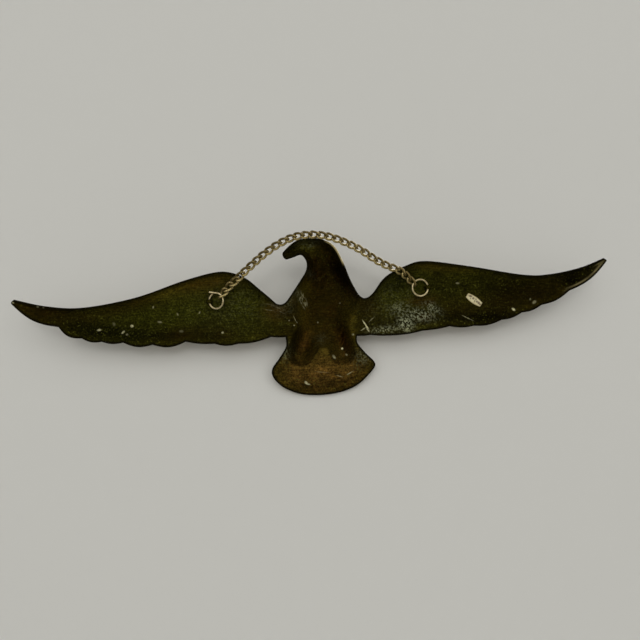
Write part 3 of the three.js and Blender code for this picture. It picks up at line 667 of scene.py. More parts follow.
def bead(x, z, half_length, half_width, tilt, rise, floor):
    """A smooth oval bead, half sunk in the face, whose height the function floor gives."""
    rings, sides = BEAD["rings"], BEAD["sides"]
    up = np.radians(np.linspace(-BEAD["pole"], BEAD["pole"], rings))[:, None]
    turn = np.arange(sides) * 2 * np.pi / sides
    u, v = turned(half_length * np.cos(up) * np.cos(turn), half_width * np.cos(up) * np.sin(turn), tilt)
    verts = np.stack([x + u, -(floor(x + u, z + v) + rise * np.sin(up)), z + v], -1).reshape(-1, 3)
    k = np.arange(sides // 2 - 1)
    cap = np.stack([k, k + 1, sides - 2 - k, sides - 1 - k], 1)
    faces = [wrapped_faces(rings, sides, False), cap[:, ::-1], cap + (rings - 1) * sides]
    return verts, np.concatenate(faces)


def face_beads(face):
    """The eye in its lid, the brow, and each foot's toes and claws, with the values of each."""
    near = np.hypot(face[:, 0] - EYE[0], face[:, 2] - EYE[1]) < CHEEK_REACH
    around = np.column_stack([np.ones(near.sum()), face[near, 0], face[near, 2]])
    level, x_slope, z_slope = np.linalg.lstsq(around, -face[near, 1], rcond=None)[0]
    cheek = lambda x, z: level + x_slope * x + z_slope * z
    toe_middle = lambda x, z: TOE["middle"] + 0 * x
    tail_face = lambda x, z: WALL + 0 * x
    x, z, length, width, rise, tilt = EYE
    made = [(bead(x, z, length * LID["eye_share"], width * LID["eye_share"], tilt, rise, cheek), 1.0)]
    turn = np.linspace(0, 2 * np.pi, DETAIL["lid"], endpoint=False)
    x, z = x + (length + LID["outside"][0]) * np.cos(turn), z + (width + LID["outside"][1]) * np.sin(turn)
    lid = np.stack([x, -cheek(x, z) - LID["raised"], z], 1)
    made.append((tube(lid, LID["wire"], DETAIL["lid_wire"], True), 0.5))
    x, z, length, width, rise, tilt = BROW
    made.append((bead(x, z + BROW_RAISED, length, width, tilt, rise, cheek), 0.8))
    for foot_x, foot_z in FEET:
        for side in (-1, 0, 1):
            tilt = side * TOE["spread"] - 90
            for step, share in JOINTS:
                x, z = turned(TOE["reach"] + step * TOE["half_length"] * JOINT["step"], 0, tilt)
                joint = bead(foot_x + x, foot_z + z, TOE["half_length"] * JOINT["length"],
                             TOE["half_width"] * share, tilt, TOE["height"] * share, toe_middle)
                made.append((joint, 0.8))
            x, z = turned(TOE["reach"] + TOE["half_length"] + CLAW["beyond"], 0, tilt)
            claw = bead(foot_x + x, foot_z + z, CLAW["half_length"], CLAW["half_width"], tilt, CLAW["height"],
                        tail_face)
            made.append((claw, 1.0))
    return [(*mesh, {"edge": 8, "tone": 1, "wear": wear}) for mesh, wear in made]


def ring_point(ring, angle, straight):
    """A point of a ring's wire, at an angle round the ring and then some way along a straight end."""
    heading = angle - math.pi / 2
    inward = ring["radius"] - ring["side"] * (ring["radius"] * np.cos(angle) + straight * np.cos(heading))
    lift = math.radians(ring["lift"])
    x, y, z = ring["lug"]
    return np.stack([x - ring["side"] * inward * math.cos(lift),
                     y + inward * math.sin(lift) + SPRING_LEAN * straight,
                     z + ring["radius"] * np.sin(angle) + straight * np.sin(heading)], -1)


def ring_path(ring):
    arc = ring["radius"] * math.radians(ring["turn"])
    along = np.linspace(0, arc + ring["spring"], DETAIL["ring"])
    angle = math.radians(ring["start"]) - np.minimum(along, arc) / ring["radius"]
    return ring_point(ring, angle, np.maximum(along - arc, 0))


def link_mesh():
    """One curb link about its own middle: a round wire oval, twisted along its length."""
    radius, straight = LINK["half_width"], LINK["half_length"] - LINK["half_width"]
    sides, straights, r = DETAIL["link_wire"], DETAIL["straight"], LINK_WIRE / 2
    bends = np.linspace(-np.pi / 2, np.pi / 2, DETAIL["bend"])
    bend = np.stack([np.cos(bends), np.sin(bends)], 1)
    right = radius * bend + (straight, 0)
    upper = np.stack([np.linspace(straight, -straight, straights + 2)[1:-1], np.full(straights, radius)], 1)
    middle = np.concatenate([right, upper, -right, -upper])[:, None]
    upward = np.tile((0, 1), (straights, 1))
    normal = np.concatenate([bend, upward, -bend, -upward])[:, None]
    angles = np.linspace(0, 2 * np.pi, sides, endpoint=False)
    x = middle[..., 0] + r * np.cos(angles) * normal[..., 0]
    y = middle[..., 1] + r * np.cos(angles) * normal[..., 1]
    z = r * np.sin(angles) + 0 * x
    turn = math.radians(LINK["twist"]) * x / LINK["half_length"]
    twisted = [x, y * np.cos(turn) - z * np.sin(turn), y * np.sin(turn) + z * np.cos(turn)]
    return np.stack(twisted, -1).reshape(-1, 3), wrapped_faces(len(middle), sides)[:, [0, 3, 2, 1]]


def chain_curve(points, samples):
    """A centripetal Catmull-Rom line through points in space, evenly sampled by its parameter."""
    p = np.asarray(points, float)
    p = np.concatenate([[2 * p[0] - p[1]], p, [2 * p[-1] - p[-2]]])
    out = []
    for k in range(1, len(p) - 2):
        a, b, c, d = p[k - 1:k + 3]
        t0, t1, t2 = (np.linalg.norm(q) ** 0.5 for q in (b - a, c - b, d - c))
        into = ((b - a) / t0 - (c - a) / (t0 + t1) + (c - b) / t1) * t1
        away = ((c - b) / t1 - (d - b) / (t1 + t2) + (d - c) / t2) * t1
        w = np.linspace(0, 1, samples, endpoint=k == len(p) - 3)[:, None]
        squared, cubed = 3 * c - 3 * b - 2 * into - away, 2 * b - 2 * c + into + away
        out.append(b + into * w + squared * w ** 2 + cubed * w ** 3)
    return np.concatenate(out)


def chain_objects(material):
    """The chain's links, evenly along its line from ring to ring."""
    ends = [ring_point(ring, math.radians(ring["chain"]), 0) for ring in RINGS.values()]
    line = chain_curve([ends[0], *CHAIN_LINE, ends[1]], DETAIL["chain"])
    arc = np.concatenate([[0], np.cumsum(np.linalg.norm(np.diff(line, axis=0), axis=1))])
    at = lambda s: np.array([np.interp(s, arc, line[:, k]) for k in range(3)])
    end_reach = LINK["half_length"] - (LINK_WIRE + RING_WIRE) / 2 - CHAIN_END["clearance"]
    verts, faces = link_mesh()
    # Which side of the link each point is on, read by the material to paint shade on the upper side.
    shade_side = verts[:, 1] / LINK["half_width"]
    for k in range(LINKS):
        along = end_reach + (arc[-1] - 2 * end_reach) * k / (LINKS - 1)
        tangent = unit(at(along + 0.05) - at(along - 0.05))
        flat = unit(np.array([0, 1, 0]) - tangent * tangent[1])
        across = np.cross(flat, tangent)
        near_end = max(0, 1 - min(k, LINKS - 1 - k) / CHAIN_END["rolled_links"])
        end_roll = CHAIN_END["roll"] * (-1 if k < LINKS / 2 else 1)
        y, z = turned(verts[:, 1], verts[:, 2], LINK_ROLL * (1 - near_end) + end_roll * near_end)
        placed = np.stack([verts[:, 0], y, z], 1) @ np.stack([tangent, across, flat]) + at(along)
        name = "chain_link_%02d" % (k + 1)
        make_object(name + "_wire", placed, faces, {"shade_side": shade_side}, "pale_brass", name, material)


def label_mesh():
    """A thin sticker bent to the hollow of the wing, narrower at its ends than at its middle."""
    columns, rows = LABEL["grid"]
    length, width = LABEL["length"], LABEL["width"]
    u = np.linspace(-1, 1, columns)[:, None]
    half = (1 - (1 - LABEL["end_share"]) * u ** 2) * width / 2
    across = half * np.linspace(-1, 1, rows)
    along = u * length / 2 + 0 * across
    x, z = turned(along, across, LABEL["tilt"])
    x, z = x + LABEL["x"], z + LABEL["z"]
    floor = -hollow_depth(x.ravel(), z.ravel()).reshape(x.shape)
    low = np.stack([x, floor + LABEL["lift"], z], -1).reshape(-1, 3)
    high = low + np.array([0, LABEL["thickness"], 0])
    inset = np.minimum(half - np.abs(across), length / 2 - np.abs(along))
    blots = np.zeros_like(along)
    for *oval, strength in BLOTS:
        blots = np.maximum(blots, strength * np.exp(-capsule(along, across, oval) ** 4))
    n = columns * rows
    grid = np.arange(n).reshape(columns, rows)
    top = np.stack([c.ravel() for c in (grid[:-1, :-1], grid[1:, :-1], grid[1:, 1:], grid[:-1, 1:])], 1)
    border = np.concatenate([grid[:-1, 0], grid[-1, :-1], grid[:0:-1, -1], grid[0, :0:-1]])
    after = np.roll(border, -1)
    wall = np.stack([border, after, after + n, border + n], 1)
    faces = np.concatenate([top[:, ::-1] + n, top, wall[:, ::-1]])
    both = {"inset": inset, "blots": blots}
    return np.concatenate([low, high]), faces, {key: np.tile(value.ravel(), 2) for key, value in both.items()}


# Materials
class Shader:
    """A material whose nodes are added one call at a time."""

    def __init__(self, name):
        self.material = bpy.data.materials.new(name)
        self.material.use_nodes = True
        self.tree = self.material.node_tree
        self.tree.nodes.clear()
        self.place = self.add("TexCoord").outputs["Object"]

    def add(self, kind, inputs=None, **settings):
        node = self.tree.nodes.new("ShaderNode" + kind)
        for key, value in settings.items():
            setattr(node, key, value)
        for key, value in (inputs or {}).items():
            socket = node.inputs[key]
            if isinstance(value, bpy.types.NodeSocket):
                self.tree.links.new(value, socket)
            else:
                socket.default_value = value
        return node

    def attribute(self, name, kind="Fac"):
        return self.add("Attribute", attribute_name=name).outputs[kind]

    def oval_space(self, centre, tilt, size):
        turn = (0, -math.radians(tilt), 0)
        inputs = {"Vector": self.place, "Location": centre, "Rotation": turn, "Scale": size}
        return self.add("Mapping", inputs, vector_type="TEXTURE").outputs[0]

    def noise(self, size, detail, roughness, distortion=0, grain=None):
        """Noise whose lumps are about this many millimetres across, and longer along a grain's direction."""
        vector = self.oval_space((0, 0, 0), grain[0], (grain[1], 1, 1)) if grain else self.place
        return self.add("TexNoise", {"Vector": vector, "Scale": 1000 / size, "Detail": detail,
                                     "Roughness": roughness, "Distortion": distortion}).outputs["Fac"]

    def remap(self, value, low, high, to_low=0, to_high=1, smooth=False):
        inputs = {"Value": value, "From Min": low, "From Max": high, "To Min": to_low, "To Max": to_high}
        kind = "SMOOTHSTEP" if smooth else "LINEAR"
        return self.add("MapRange", inputs, interpolation_type=kind).outputs["Result"]

    def math(self, operation, a, b, clamp=False):
        return self.add("Math", {0: a, 1: b}, operation=operation, use_clamp=clamp).outputs[0]

    def times(self, product, *factors, clamp=False):
        for k, factor in enumerate(factors):
            product = self.math("MULTIPLY", product, factor, clamp and k == len(factors) - 1)
        return product

    def mix(self, factor, a, b, blend="MIX"):
        a, b = (c if isinstance(c, bpy.types.NodeSocket) else (*c, 1) for c in (a, b))
        return self.add("Mix", {0: factor, 6: a, 7: b}, data_type="RGBA", blend_type=blend).outputs[2]

    def mark(self, x, z, half_length, half_width, tilt, soft):
        """1 inside an oval on the eagle, in its own millimetres, and 0 outside it."""
        centre = ((x - HANG[0]) * MM, 0, (z - HANG[2]) * MM)
        size = (half_length * MM, 1000, half_width * MM)
        local = self.oval_space(centre, tilt, size)
        length = self.add("VectorMath", {0: local}, operation="LENGTH").outputs["Value"]
        return self.remap(length, 1 + soft, 1 - soft, smooth=True)

    def bump(self, height, strength, distance):
        return self.add("Bump", {"Height": height, "Strength": strength, "Distance": distance}).outputs[0]

    def principled(self, **sockets):
        bsdf = self.add("BsdfPrincipled", {key.replace("_", " "): value for key, value in sockets.items()})
        self.add("OutputMaterial", {"Surface": bsdf.outputs[0]})
        return self.material


# Soft stains, each (x, z, half-length, half-width, tilt, strength). Umber, ochre and dust are on the back.
# Umber is red-brown patina that also serves as painted shade on the neck's wall away from the beak and in the
# leg hollows, and dust also holds painted reflections of light on the other wing's hollow near its root.
BROWN = [(38, 3, 15, 12, 0, 0.9), (-41, 2, 12, 13, 0, 0.7), (96, 30, 34, 6, -8, 0.8),
         (70, 30, 16, 7, 30, 0.4), (155, 17, 40, 6, -14, 0.6), (119, -13, 18, 6, 0, 0.9),
         (84, -15, 10, 5, 0, 0.5), (232, 16, 30, 10, 15, 0.9), (200, 8, 18, 6, 10, 0.5),
         (-4, 4, 32, 34, 0, 1), (-105, 31, 34, 5, 8, 0.6), (-185, 0, 52, 14, -8, 0.8),
         (-125, -9, 20, 10, 0, 0.5), (0, -20, 34, 16, 0, 0.8), (-90, 2, 13, 5, 0, 1.3),
         (-90, -12.5, 7, 3.5, 0, 1.2)]
UMBER_AND_SHADE = [(-19.5, 32, 22, 6.5, 62, 1), (-30, 17, 12, 4, 66, 0.8), (-9, 53, 13, 6, 32, 0.7),
         (0, 34, 14, 15, 0, 0.85), (-0.5, 44.2, 3.2, 3, 0, 1), (15, -28, 14, 6, -64, 1),
         (-19, -29, 15, 6, -100, 1.1)]
OCHRE = [(0, -56, 34, 15, 0, 1), (18, -54, 20, 11, 25, 0.9), (3, -46, 9, 9, 0, 0.6),
         (-28, -52, 12, 8, -30, 0.3), (17, -29, 9, 3.5, -62, 0.35), (36, 2.5, 9, 4.5, 14, 0.3),
         (22, 8, 5, 3, 60, 0.2)]
DUST_AND_REFLECTION = [(-73, -16.5, 5.5, 6.5, 0, 1.3), (-84, -10, 12, 4.5, 8, 0.95), (-98, -5, 7, 3.5, 30, 0.6),
        (-70, -4, 9, 5, 0, 0.4), (-55, -21, 12, 3, -4, 0.6), (66, 12, 34, 18, 0, 0.04),
        (30, 8, 9, 8, 0, 0.25), (-62, 4, 26, 20, 0, 0.05), (32, -33, 5, 6, 0, 0.3),
        (-34, -42, 8, 6, -40, 0.25), (6, 58, 9, 2.6, -3, 0.36), (12, 36, 3, 9, -56, 0.3),
        (0, -26, 6, 5, 0, 0.1), (22, 20, 13, 3, 58, 0.3)]
GREEN = [(130, 4, 60, 14, -6, 0.9), (60, 8, 24, 20, 0, 1), (-70, 12, 32, 18, 0, 0.9),
         (-130, 12, 30, 12, 8, 0.4), (12, 20, 20, 7, -58, 0.7), (4, 57, 16, 6, 0, 0.4),
         (-128, 22, 50, 8, 6, 0.3)]
# Where the back is lighter or darker, each (x, z, half-length, half-width, tilt, change): partly the patina's
# uneven tone, and partly painted light and shade, which lightens the upper walls of the wing hollows and the
# body hollow's wall on the beak's side, and darkens the wings' lower edges and the neck's wall away from the
# beak.
TONES_AND_SHADING = [(-205, 2, 30, 9, 18, -0.1), (165, -8, 28, 7, 8, -0.25), (96, 28, 48, 7, -9, 1.2),
         (-106, 29, 42, 7, 8, 0.9), (38, 4, 13, 11, 0, 0.6), (0, -48, 30, 9, 0, 0.5),
         (30, -53, 13, 12, 0, 0.15), (0, -67, 34, 8, 0, -0.4), (9, 57, 14, 5, 10, 0.25),
         (-20, 31, 19, 5.5, 62, -0.75), (-4, 34, 12, 12, 0, -0.15), (-118, 9, 42, 10, 5, -0.4),
         (-180, 2, 42, 12, 5, -0.55), (-240, 19, 28, 11, 30, -0.7), (125, -14, 44, 6, 4, -0.5),
         (130, 4, 40, 12, -6, -0.28), (232, 16, 28, 11, 14, -0.35), (-46, 3, 12, 12, 0, 0.2),
         (20, 22, 17, 5, 52, 0.4), (0, -22, 9, 8, 0, 0.4), (62, 4, 22, 15, 0, -0.3),
         (-62, 4, 20, 15, 0, -0.15), (24, 50, 8, 5, 15, 0.7), (-2, 48, 10, 9, 0, 0.3),
         (-144, -17, 46, 7.5, 2, -0.82), (-132, 3, 12, 9, 0, 0.6), (190, -4, 48, 9, 10, -0.7),
         (133, 25, 13, 6, 0, 0.9), (98, 32, 22, 7, -9, 0.4), (14.5, -6, 21, 6, 90, 1.9),
         (9, 24, 9, 5, 65, 1.2), (10, 57, 5, 5, 0, 1.3), (-26, -12, 20, 5, 93, 1.6), (-4, -33, 9, 6, 0, 1.7),
         (70, 12, 30, 9, 0, 0.3), (-84, 5, 30, 9, 0, 0.35), (-71, 19, 9, 9, 0, -0.4),
         (-226, 9, 17, 9, 24, -0.85)]
# Light specks and scratches, each (x, z, half-length, half-width, tilt, strength). Some of the specks, in the
# leg hollows and on the tail, are painted glints.
SPECKS_AND_GLINTS = [(159.3, -2.2, 1.1, 1, 0, 0.75), (166.7, -6.9, 1.5, 0.7, -40, 0.6), (136.1, -0.5, 1.7, 0.8, 12, 0.2),
          (140.9, 12.4, 1, 0.6, -70, 0.3), (120.9, 4.9, 1.2, 0.6, 70, 0.22),
          (102.5, 5.2, 1.1, 0.5, -60, 0.28), (84.1, -13.2, 0.9, 0.8, 0, 0.5), (118.5, -9.6, 1.6, 1, 5, 0.12),
          (163.5, -9, 0.9, 0.8, 0, 0.2), (186.2, -3.6, 1.5, 0.8, -5, 0.55), (174, 0.5, 1, 1.6, -20, 0.1),
          (253.5, 24, 0.8, 0.6, 40, 0.5), (234, 19, 1, 0.6, 0, 0.3), (229.5, 18, 0.8, 0.5, 0, 0.25),
          (-188.5, -6.4, 1.8, 1.1, -35, 0.3), (-185.5, -3.5, 1, 0.6, -60, 0.2),
          (-122.7, 15, 1.5, 0.8, 10, 0.25), (-169.4, -11.4, 1.5, 0.95, 40, 0.95),
          (-17.6, -34.8, 0.8, 0.8, 0, 1), (-20.6, -40.2, 0.9, 0.7, 30, 0.4), (-9.3, -41.1, 1.8, 1, 55, 1),
          (16.6, -61, 1.4, 0.9, 50, 0.9), (14.9, -62.3, 1.5, 0.6, 15, 0.6), (-26.6, -23, 0.9, 0.8, 0, 0.35),
          (11, 38.5, 1.2, 0.6, -60, 0.22), (1.5, -10.5, 0.7, 0.7, 0, 0.25), (-19, 5, 0.7, 0.6, 0, 0.2),
          (20.5, -9, 0.9, 0.5, 60, 0.3), (23, -11.5, 0.7, 0.5, 20, 0.3), (27, -7, 0.6, 0.5, 0, 0.25)]
SCRATCHES = [(-38.9, -16, 4.3, 0.55, 62, 1), (-39.9, -19.4, 2.2, 0.6, 66, 1),
             (-36.4, -18.8, 2.4, 0.4, -28, 0.7), (-44, -11.5, 3, 0.35, -38, 0.22),
             (-21.6, -55.6, 3, 0.4, -25, 0.4), (-12.4, -57.6, 2.6, 0.35, 20, 0.3),
             (2.5, -53, 5, 0.3, 8, 0.15), (41.5, 7.5, 4.5, 0.35, 16, 0.22), (37, 5, 5, 0.35, 20, 0.2),
             (43, 3, 4, 0.3, 12, 0.2), (33, 0.5, 3, 0.35, 30, 0.2), (22, -6, 3, 0.3, 70, 0.3),
             (-128, -16, 5, 0.3, 30, 0.4)]
# A painted streak of reflected light on the body hollow's wall on the beak's side, and where bare metal shows
# on the nape's edge.
REFLECTED_STREAK = (13.8, 10.5, 8.8, 3.2, 68)
BARE = (-16.5, 49, 12.5, 6, 57)
# The painted highlight along the lip of the left wing's tip, on the inner wall that faces up: where it starts
# and is full, its distance from the edge and its half-width, and how far above and below a point the slope is
# taken.
LIP_HIGHLIGHT = {"start": 212, "full": 228, "inside": 2.6, "half_width": 0.65, "slope_step": 4}


def tone(x, z):
    total = np.ones(len(x))
    for *oval, change in TONES_AND_SHADING:
        total *= 1 + change * np.exp(-capsule(x, z, oval) ** 2)
    return total


def stain(x, z, ovals):
    total = np.zeros(len(x))
    for *oval, strength in ovals:
        total = np.maximum(total, strength * np.exp(-capsule(x, z, oval) ** 2))
    return total


def patina():
    """Dark olive patina with stains, dust, scratches and rubbed edges, by the values on the points, with
    painted light and shade: painted reflections, glints and highlights, and painted shade in creases, along
    the rim and on the hollows' far walls.
    """
    s = Shader("patinated_brass")
    back, edge = s.attribute("back"), s.attribute("edge")
    cloud, blotch = s.noise(34, 3, 0.6), s.noise(9, 4, 0.6, 0.4)
    fleck, grain = s.noise(1.7, 3, 0.65), s.noise(0.8, 2, 0.6)

    uneven = s.math("ADD", s.times(cloud, 0.5), s.times(blotch, 0.5))
    lively = s.remap(blotch, 0.3, 0.7, 0.45, 1.3)
    stained = lambda name, strength: s.times(s.attribute(name), lively, strength, clamp=True)
    colour = s.mix(s.remap(uneven, 0.36, 0.64), (0.010, 0.0085, 0.0010), (0.022, 0.0195, 0.0022))
    colour = s.mix(stained("green", 0.9), colour, (0.034, 0.036, 0.0028))
    colour = s.mix(stained("brown", 0.85), colour, (0.022, 0.0125, 0.0014))
    stripes = s.remap(s.noise(1.9, 3, 0.6, 0, (-68, 7)), 0.47, 0.62)
    red = s.mix(stripes, (0.0098, 0.0034, 0.0006), (0.030, 0.0135, 0.0016))
    # Umber: red-brown patina, and painted shade on the neck's wall away from the beak and in the leg hollows.
    colour = s.mix(stained("umber", 0.95), colour, red)
    smears = s.remap(s.noise(1.5, 4, 0.7, 0.2, (4, 4)), 0.38, 0.62)
    smeared = s.mix(smears, (0.064, 0.033, 0.007), (0.104, 0.056, 0.0108))
    colour = s.mix(stained("ochre", 0.95), colour, smeared)

    browned_and_shaded = s.math("MAXIMUM", s.attribute("umber"), s.attribute("brown"), True)
    coarse = s.remap(s.noise(1.4, 2, 0.75), 0.32, 0.68, 0.35, 1.7)
    evened = s.times(s.math("SUBTRACT", 1, coarse), s.remap(browned_and_shaded, 0, 1, 0, 0.65))
    brushed = s.remap(s.noise(1.1, 2, 0.6, 0.2, (2, 7)), 0.38, 0.62, 0.7, 1.3)
    # Lightness from the tone values, which hold painted light and shade as well as the patina's uneven tone.
    lightness = s.times(s.attribute("tone"), s.math("ADD", coarse, evened), brushed)
    colour = s.add("VectorMath", {0: colour, "Scale": lightness}, operation="SCALE").outputs[0]
    # Dust, and painted reflections of light on the lower wall of the other wing's hollow near its root, in
    # one pale colour.
    dusty_and_reflected = s.times(stained("dust", 1), s.remap(fleck, 0.47, 0.59))
    colour = s.mix(dusty_and_reflected, colour, (0.40, 0.42, 0.26))
    pale = s.times(s.remap(fleck, 0.57, 0.68), s.remap(blotch, 0.38, 0.60, 0.15, 0.7))
    pale = s.times(pale, s.remap(browned_and_shaded, 0, 0.9, 1, 0.25))
    colour = s.mix(pale, colour, (0.098, 0.098, 0.016))
    colour = s.mix(s.times(s.remap(fleck, 0.42, 0.33), 0.55), colour, (0.006, 0.0045, 0.0008))

    # Painted highlight: the slope just inside the rim is drawn lighter.
    rim_highlight = s.times(s.remap(edge, 1.6, 3.0, 0, 1, True), s.remap(edge, 7.5, 4.5, 0, 0.32, True))
    colour = s.mix(rim_highlight, colour, s.mix(1, colour, (2.1, 2.0, 1.7), "MULTIPLY"))
    # Painted shade in the crease round the legs' lower ends.
    colour = s.mix(s.times(s.attribute("crease"), 0.85), colour, (0.0045, 0.0030, 0.0008))
    # Painted shade: a dark line along the back's rim, where its edge turns away.
    colour = s.mix(s.times(s.remap(edge, 2.3, 0.9, 0, 0.92, True), back), colour, (0.0055, 0.0042, 0.0012))
    bare = s.times(s.attribute("bare"), s.remap(blotch, 0.3, 0.55, 0.5, 1))
    colour = s.mix(bare, colour, (0.42, 0.34, 0.16))
    # Painted highlight along the lip of the wing's tip.
    lip = s.times(s.attribute("lip"), s.remap(blotch, 0.3, 0.6, 0.4, 1), clamp=True)
    colour = s.mix(lip, colour, (0.20, 0.165, 0.075))

    front = s.math("SUBTRACT", 1, back)
    rubbed = s.times(s.attribute("wear"), front, s.remap(uneven, 0.35, 0.65, 0.25, 0.95), clamp=True)
    colour = s.mix(s.times(rubbed, 0.8), colour, (0.17, 0.105, 0.028))

    # One pale colour for a painted streak of reflected light, painted glints among the light specks, and
    # scratches.
    strokes = s.remap(s.noise(1.3, 2, 0.5, 0, (REFLECTED_STREAK[4], 9)), 0.51, 0.60, 0, 0.5)
    specks_glints_and_scratches = s.times(s.mark(*REFLECTED_STREAK, 0.35), strokes)
    ragged = s.remap(s.noise(0.9, 2, 0.5), 0.35, 0.52, 0.5, 1)
    broken = s.remap(fleck, 0.35, 0.55, 0.3, 1)
    for marks, uneven_edge in ((SPECKS_AND_GLINTS, ragged), (SCRATCHES, broken)):
        for *oval, strength in marks:
            specks_glints_and_scratches = s.math("MAXIMUM", specks_glints_and_scratches, s.times(s.mark(*oval, 0.6), s.times(uneven_edge, strength)))
    colour = s.mix(s.times(specks_glints_and_scratches, back), colour, (0.62, 0.58, 0.33))

    across, along, strength = s.add("SeparateXYZ", {0: s.attribute("barbs", "Vector")}).outputs
    lines = s.math("SINE", s.times(s.math("SUBTRACT", along, s.times(across, 3)), 4.6), 0)
    combed = s.times(lines, strength, s.times(front, 0.35))
    rough_skin = s.math("ADD", s.times(fleck, 0.9), s.times(grain, 0.7))
    height = s.math("ADD", s.math("ADD", rough_skin, combed), s.times(blotch, 1.2))
    gloss = s.math("ADD", s.remap(blotch, 0.3, 0.7, 0.36, 0.56), s.times(dusty_and_reflected, 0.25), True)
    gloss = s.math("SUBTRACT", gloss, s.times(s.attribute("umber"), 0.1), True)
    return s.principled(Base_Color=colour, Metallic=0.5, Roughness=gloss, Specular_IOR_Level=0.006,
                        Normal=s.bump(height, 0.55, 0.00045))


def pale_brass(name, bright, dull):
    """Tarnished wire, with painted shade that makes the upper side of each link duller, and dirty in spots.
    """
    s = Shader(name)
    tarnish = s.noise(3.0, 4, 0.7)
    # Painted shade: the upper side of each link is drawn duller.
    upper = s.remap(s.attribute("shade_side"), -0.4, 0.8, -0.25, 0.6)
    colour = s.mix(s.math("ADD", s.remap(tarnish, 0.40, 0.60, 0, 0.8), upper, True), bright, dull)
    dirt = s.times(s.remap(s.noise(1.6, 3, 0.7), 0.56, 0.72), 0.7)
    colour = s.mix(dirt, colour, (0.035, 0.022, 0.008))
    return s.principled(Base_Color=colour, Metallic=0.72, Roughness=s.remap(tarnish, 0.3, 0.7, 0.22, 0.42),
                        Normal=s.bump(s.noise(0.7, 2, 0.6), 0.3, 0.00012))


def label_paper():
    """Yellowed paper with a darker border and worn blots."""
    s = Shader("label_paper")
    colour = s.mix(s.remap(s.noise(5, 3, 0.6), 0.35, 0.65), (0.74, 0.67, 0.39), (0.60, 0.52, 0.27))
    colour = s.mix(s.remap(s.attribute("inset"), 0.75, 0.45, 0, 0.55, True), colour, (0.34, 0.25, 0.085))
    worn = s.remap(s.noise(0.9, 2, 0.5), 0.36, 0.5, 0.7, 1)
    colour = s.mix(s.times(worn, s.attribute("blots")), colour, (0.085, 0.034, 0.006))
    return s.principled(Base_Color=colour, Metallic=0, Roughness=0.42,
                        Normal=s.bump(s.noise(0.6, 3, 0.6), 0.25, 0.0001))


# The eagle
shell, shell_faces, values = shell_mesh()
x_all, z_all = shell[:, 0], shell[:, 2]
on_back, edge = values["back"], values["edge"]
# The stain values: umber also carries painted shade, and dust also painted reflections.
for key, ovals in (("brown", BROWN), ("umber", UMBER_AND_SHADE), ("ochre", OCHRE), ("dust", DUST_AND_REFLECTION), ("green", GREEN)):
    values[key] = stain(x_all, z_all, ovals) * (on_back if key in ("dust", "ochre", "umber") else 1)
values["tone"] = np.where(on_back > 0, tone(x_all, z_all), 1)
# A painted highlight on the up-facing inner wall along the wing's tip.
step = LIP_HIGHLIGHT["slope_step"]
below = smoothstep(wing_arch(x_all, z_all + step) - wing_arch(x_all, z_all - step), -0.6, 0.2)
band = np.exp(-((edge - LIP_HIGHLIGHT["inside"]) / LIP_HIGHLIGHT["half_width"]) ** 2) * on_back
values["lip"] = smoothstep(-x_all, LIP_HIGHLIGHT["start"], LIP_HIGHLIGHT["full"]) * band * below
worn_edge = smoothstep(1.15 - capsule(x_all, z_all, BARE), 0, 0.3)
values["bare"] = worn_edge * smoothstep(1.8 - edge, 0, 0.7) * on_back
added = [(*lug_mesh(ring), {"back": 1, "edge": 5, "tone": 1}) for ring in RINGS.values()]
added += face_beads(shell[on_back == 0])
counts = np.cumsum([len(shell)] + [len(verts) for verts, _, _ in added])
casting_verts = np.concatenate([shell] + [verts for verts, _, _ in added])
casting_faces = np.concatenate([shell_faces] + [f + counts[k] for k, (_, f, _) in enumerate(added)])
for key, value in values.items():
    looks = [np.full((len(verts), *value.shape[1:]), look.get(key, 0.0)) for verts, _, look in added]
    values[key] = np.concatenate([value, *looks])
casting = (casting_verts, casting_faces, values)
make_object("eagle_casting_fine", *casting, "brass_patina", "eagle_casting", patina())

ring_brass = pale_brass("ring_brass", (0.74, 0.62, 0.36), (0.40, 0.31, 0.14))
for name, ring in RINGS.items():
    verts, faces = tube(ring_path(ring), RING_WIRE_SHOWN / 2, DETAIL["ring_wire"])
    make_object(name + "_wire", verts, faces, {}, "pale_brass", name, ring_brass)
chain_objects(pale_brass("chain_brass", (0.52, 0.41, 0.17), (0.14, 0.10, 0.028)))
make_object("label_sticker", *label_mesh(), "label_paper", "label", label_paper())


# The stage: a floor, and the sheet that the eagle lies on in the photo, which touches its chest and leans
# towards its tail. The sheet shows from behind only.
FLOOR = {"height": -0.46, "reach": 6}
SHEET = {"half_width": 0.44, "top": 0.42, "lean": math.tan(math.radians(20)), "gap": 0.0008}


def plane(name, corners, material):
    mesh = bpy.data.meshes.new(name)
    mesh.from_pydata(corners, [], [(0, 1, 2, 3)])
    mesh.materials.append(material)
    obj = add_to_scene(name, mesh)
    return obj


def paper_material(name, colour, see_through_behind):
    s = Shader(name)
    faint = s.mix(s.noise(260, 2, 0.5), tuple(c * 0.985 for c in colour), colour)
    surface = s.add("BsdfDiffuse", {"Color": faint}).outputs[0]
    if see_through_behind:
        behind = s.add("NewGeometry").outputs["Backfacing"]
        clear = s.add("BsdfTransparent").outputs[0]
        surface = s.add("MixShader", {0: behind, 1: surface, 2: clear}).outputs[0]
    s.add("OutputMaterial", {"Surface": surface})
    return s.material


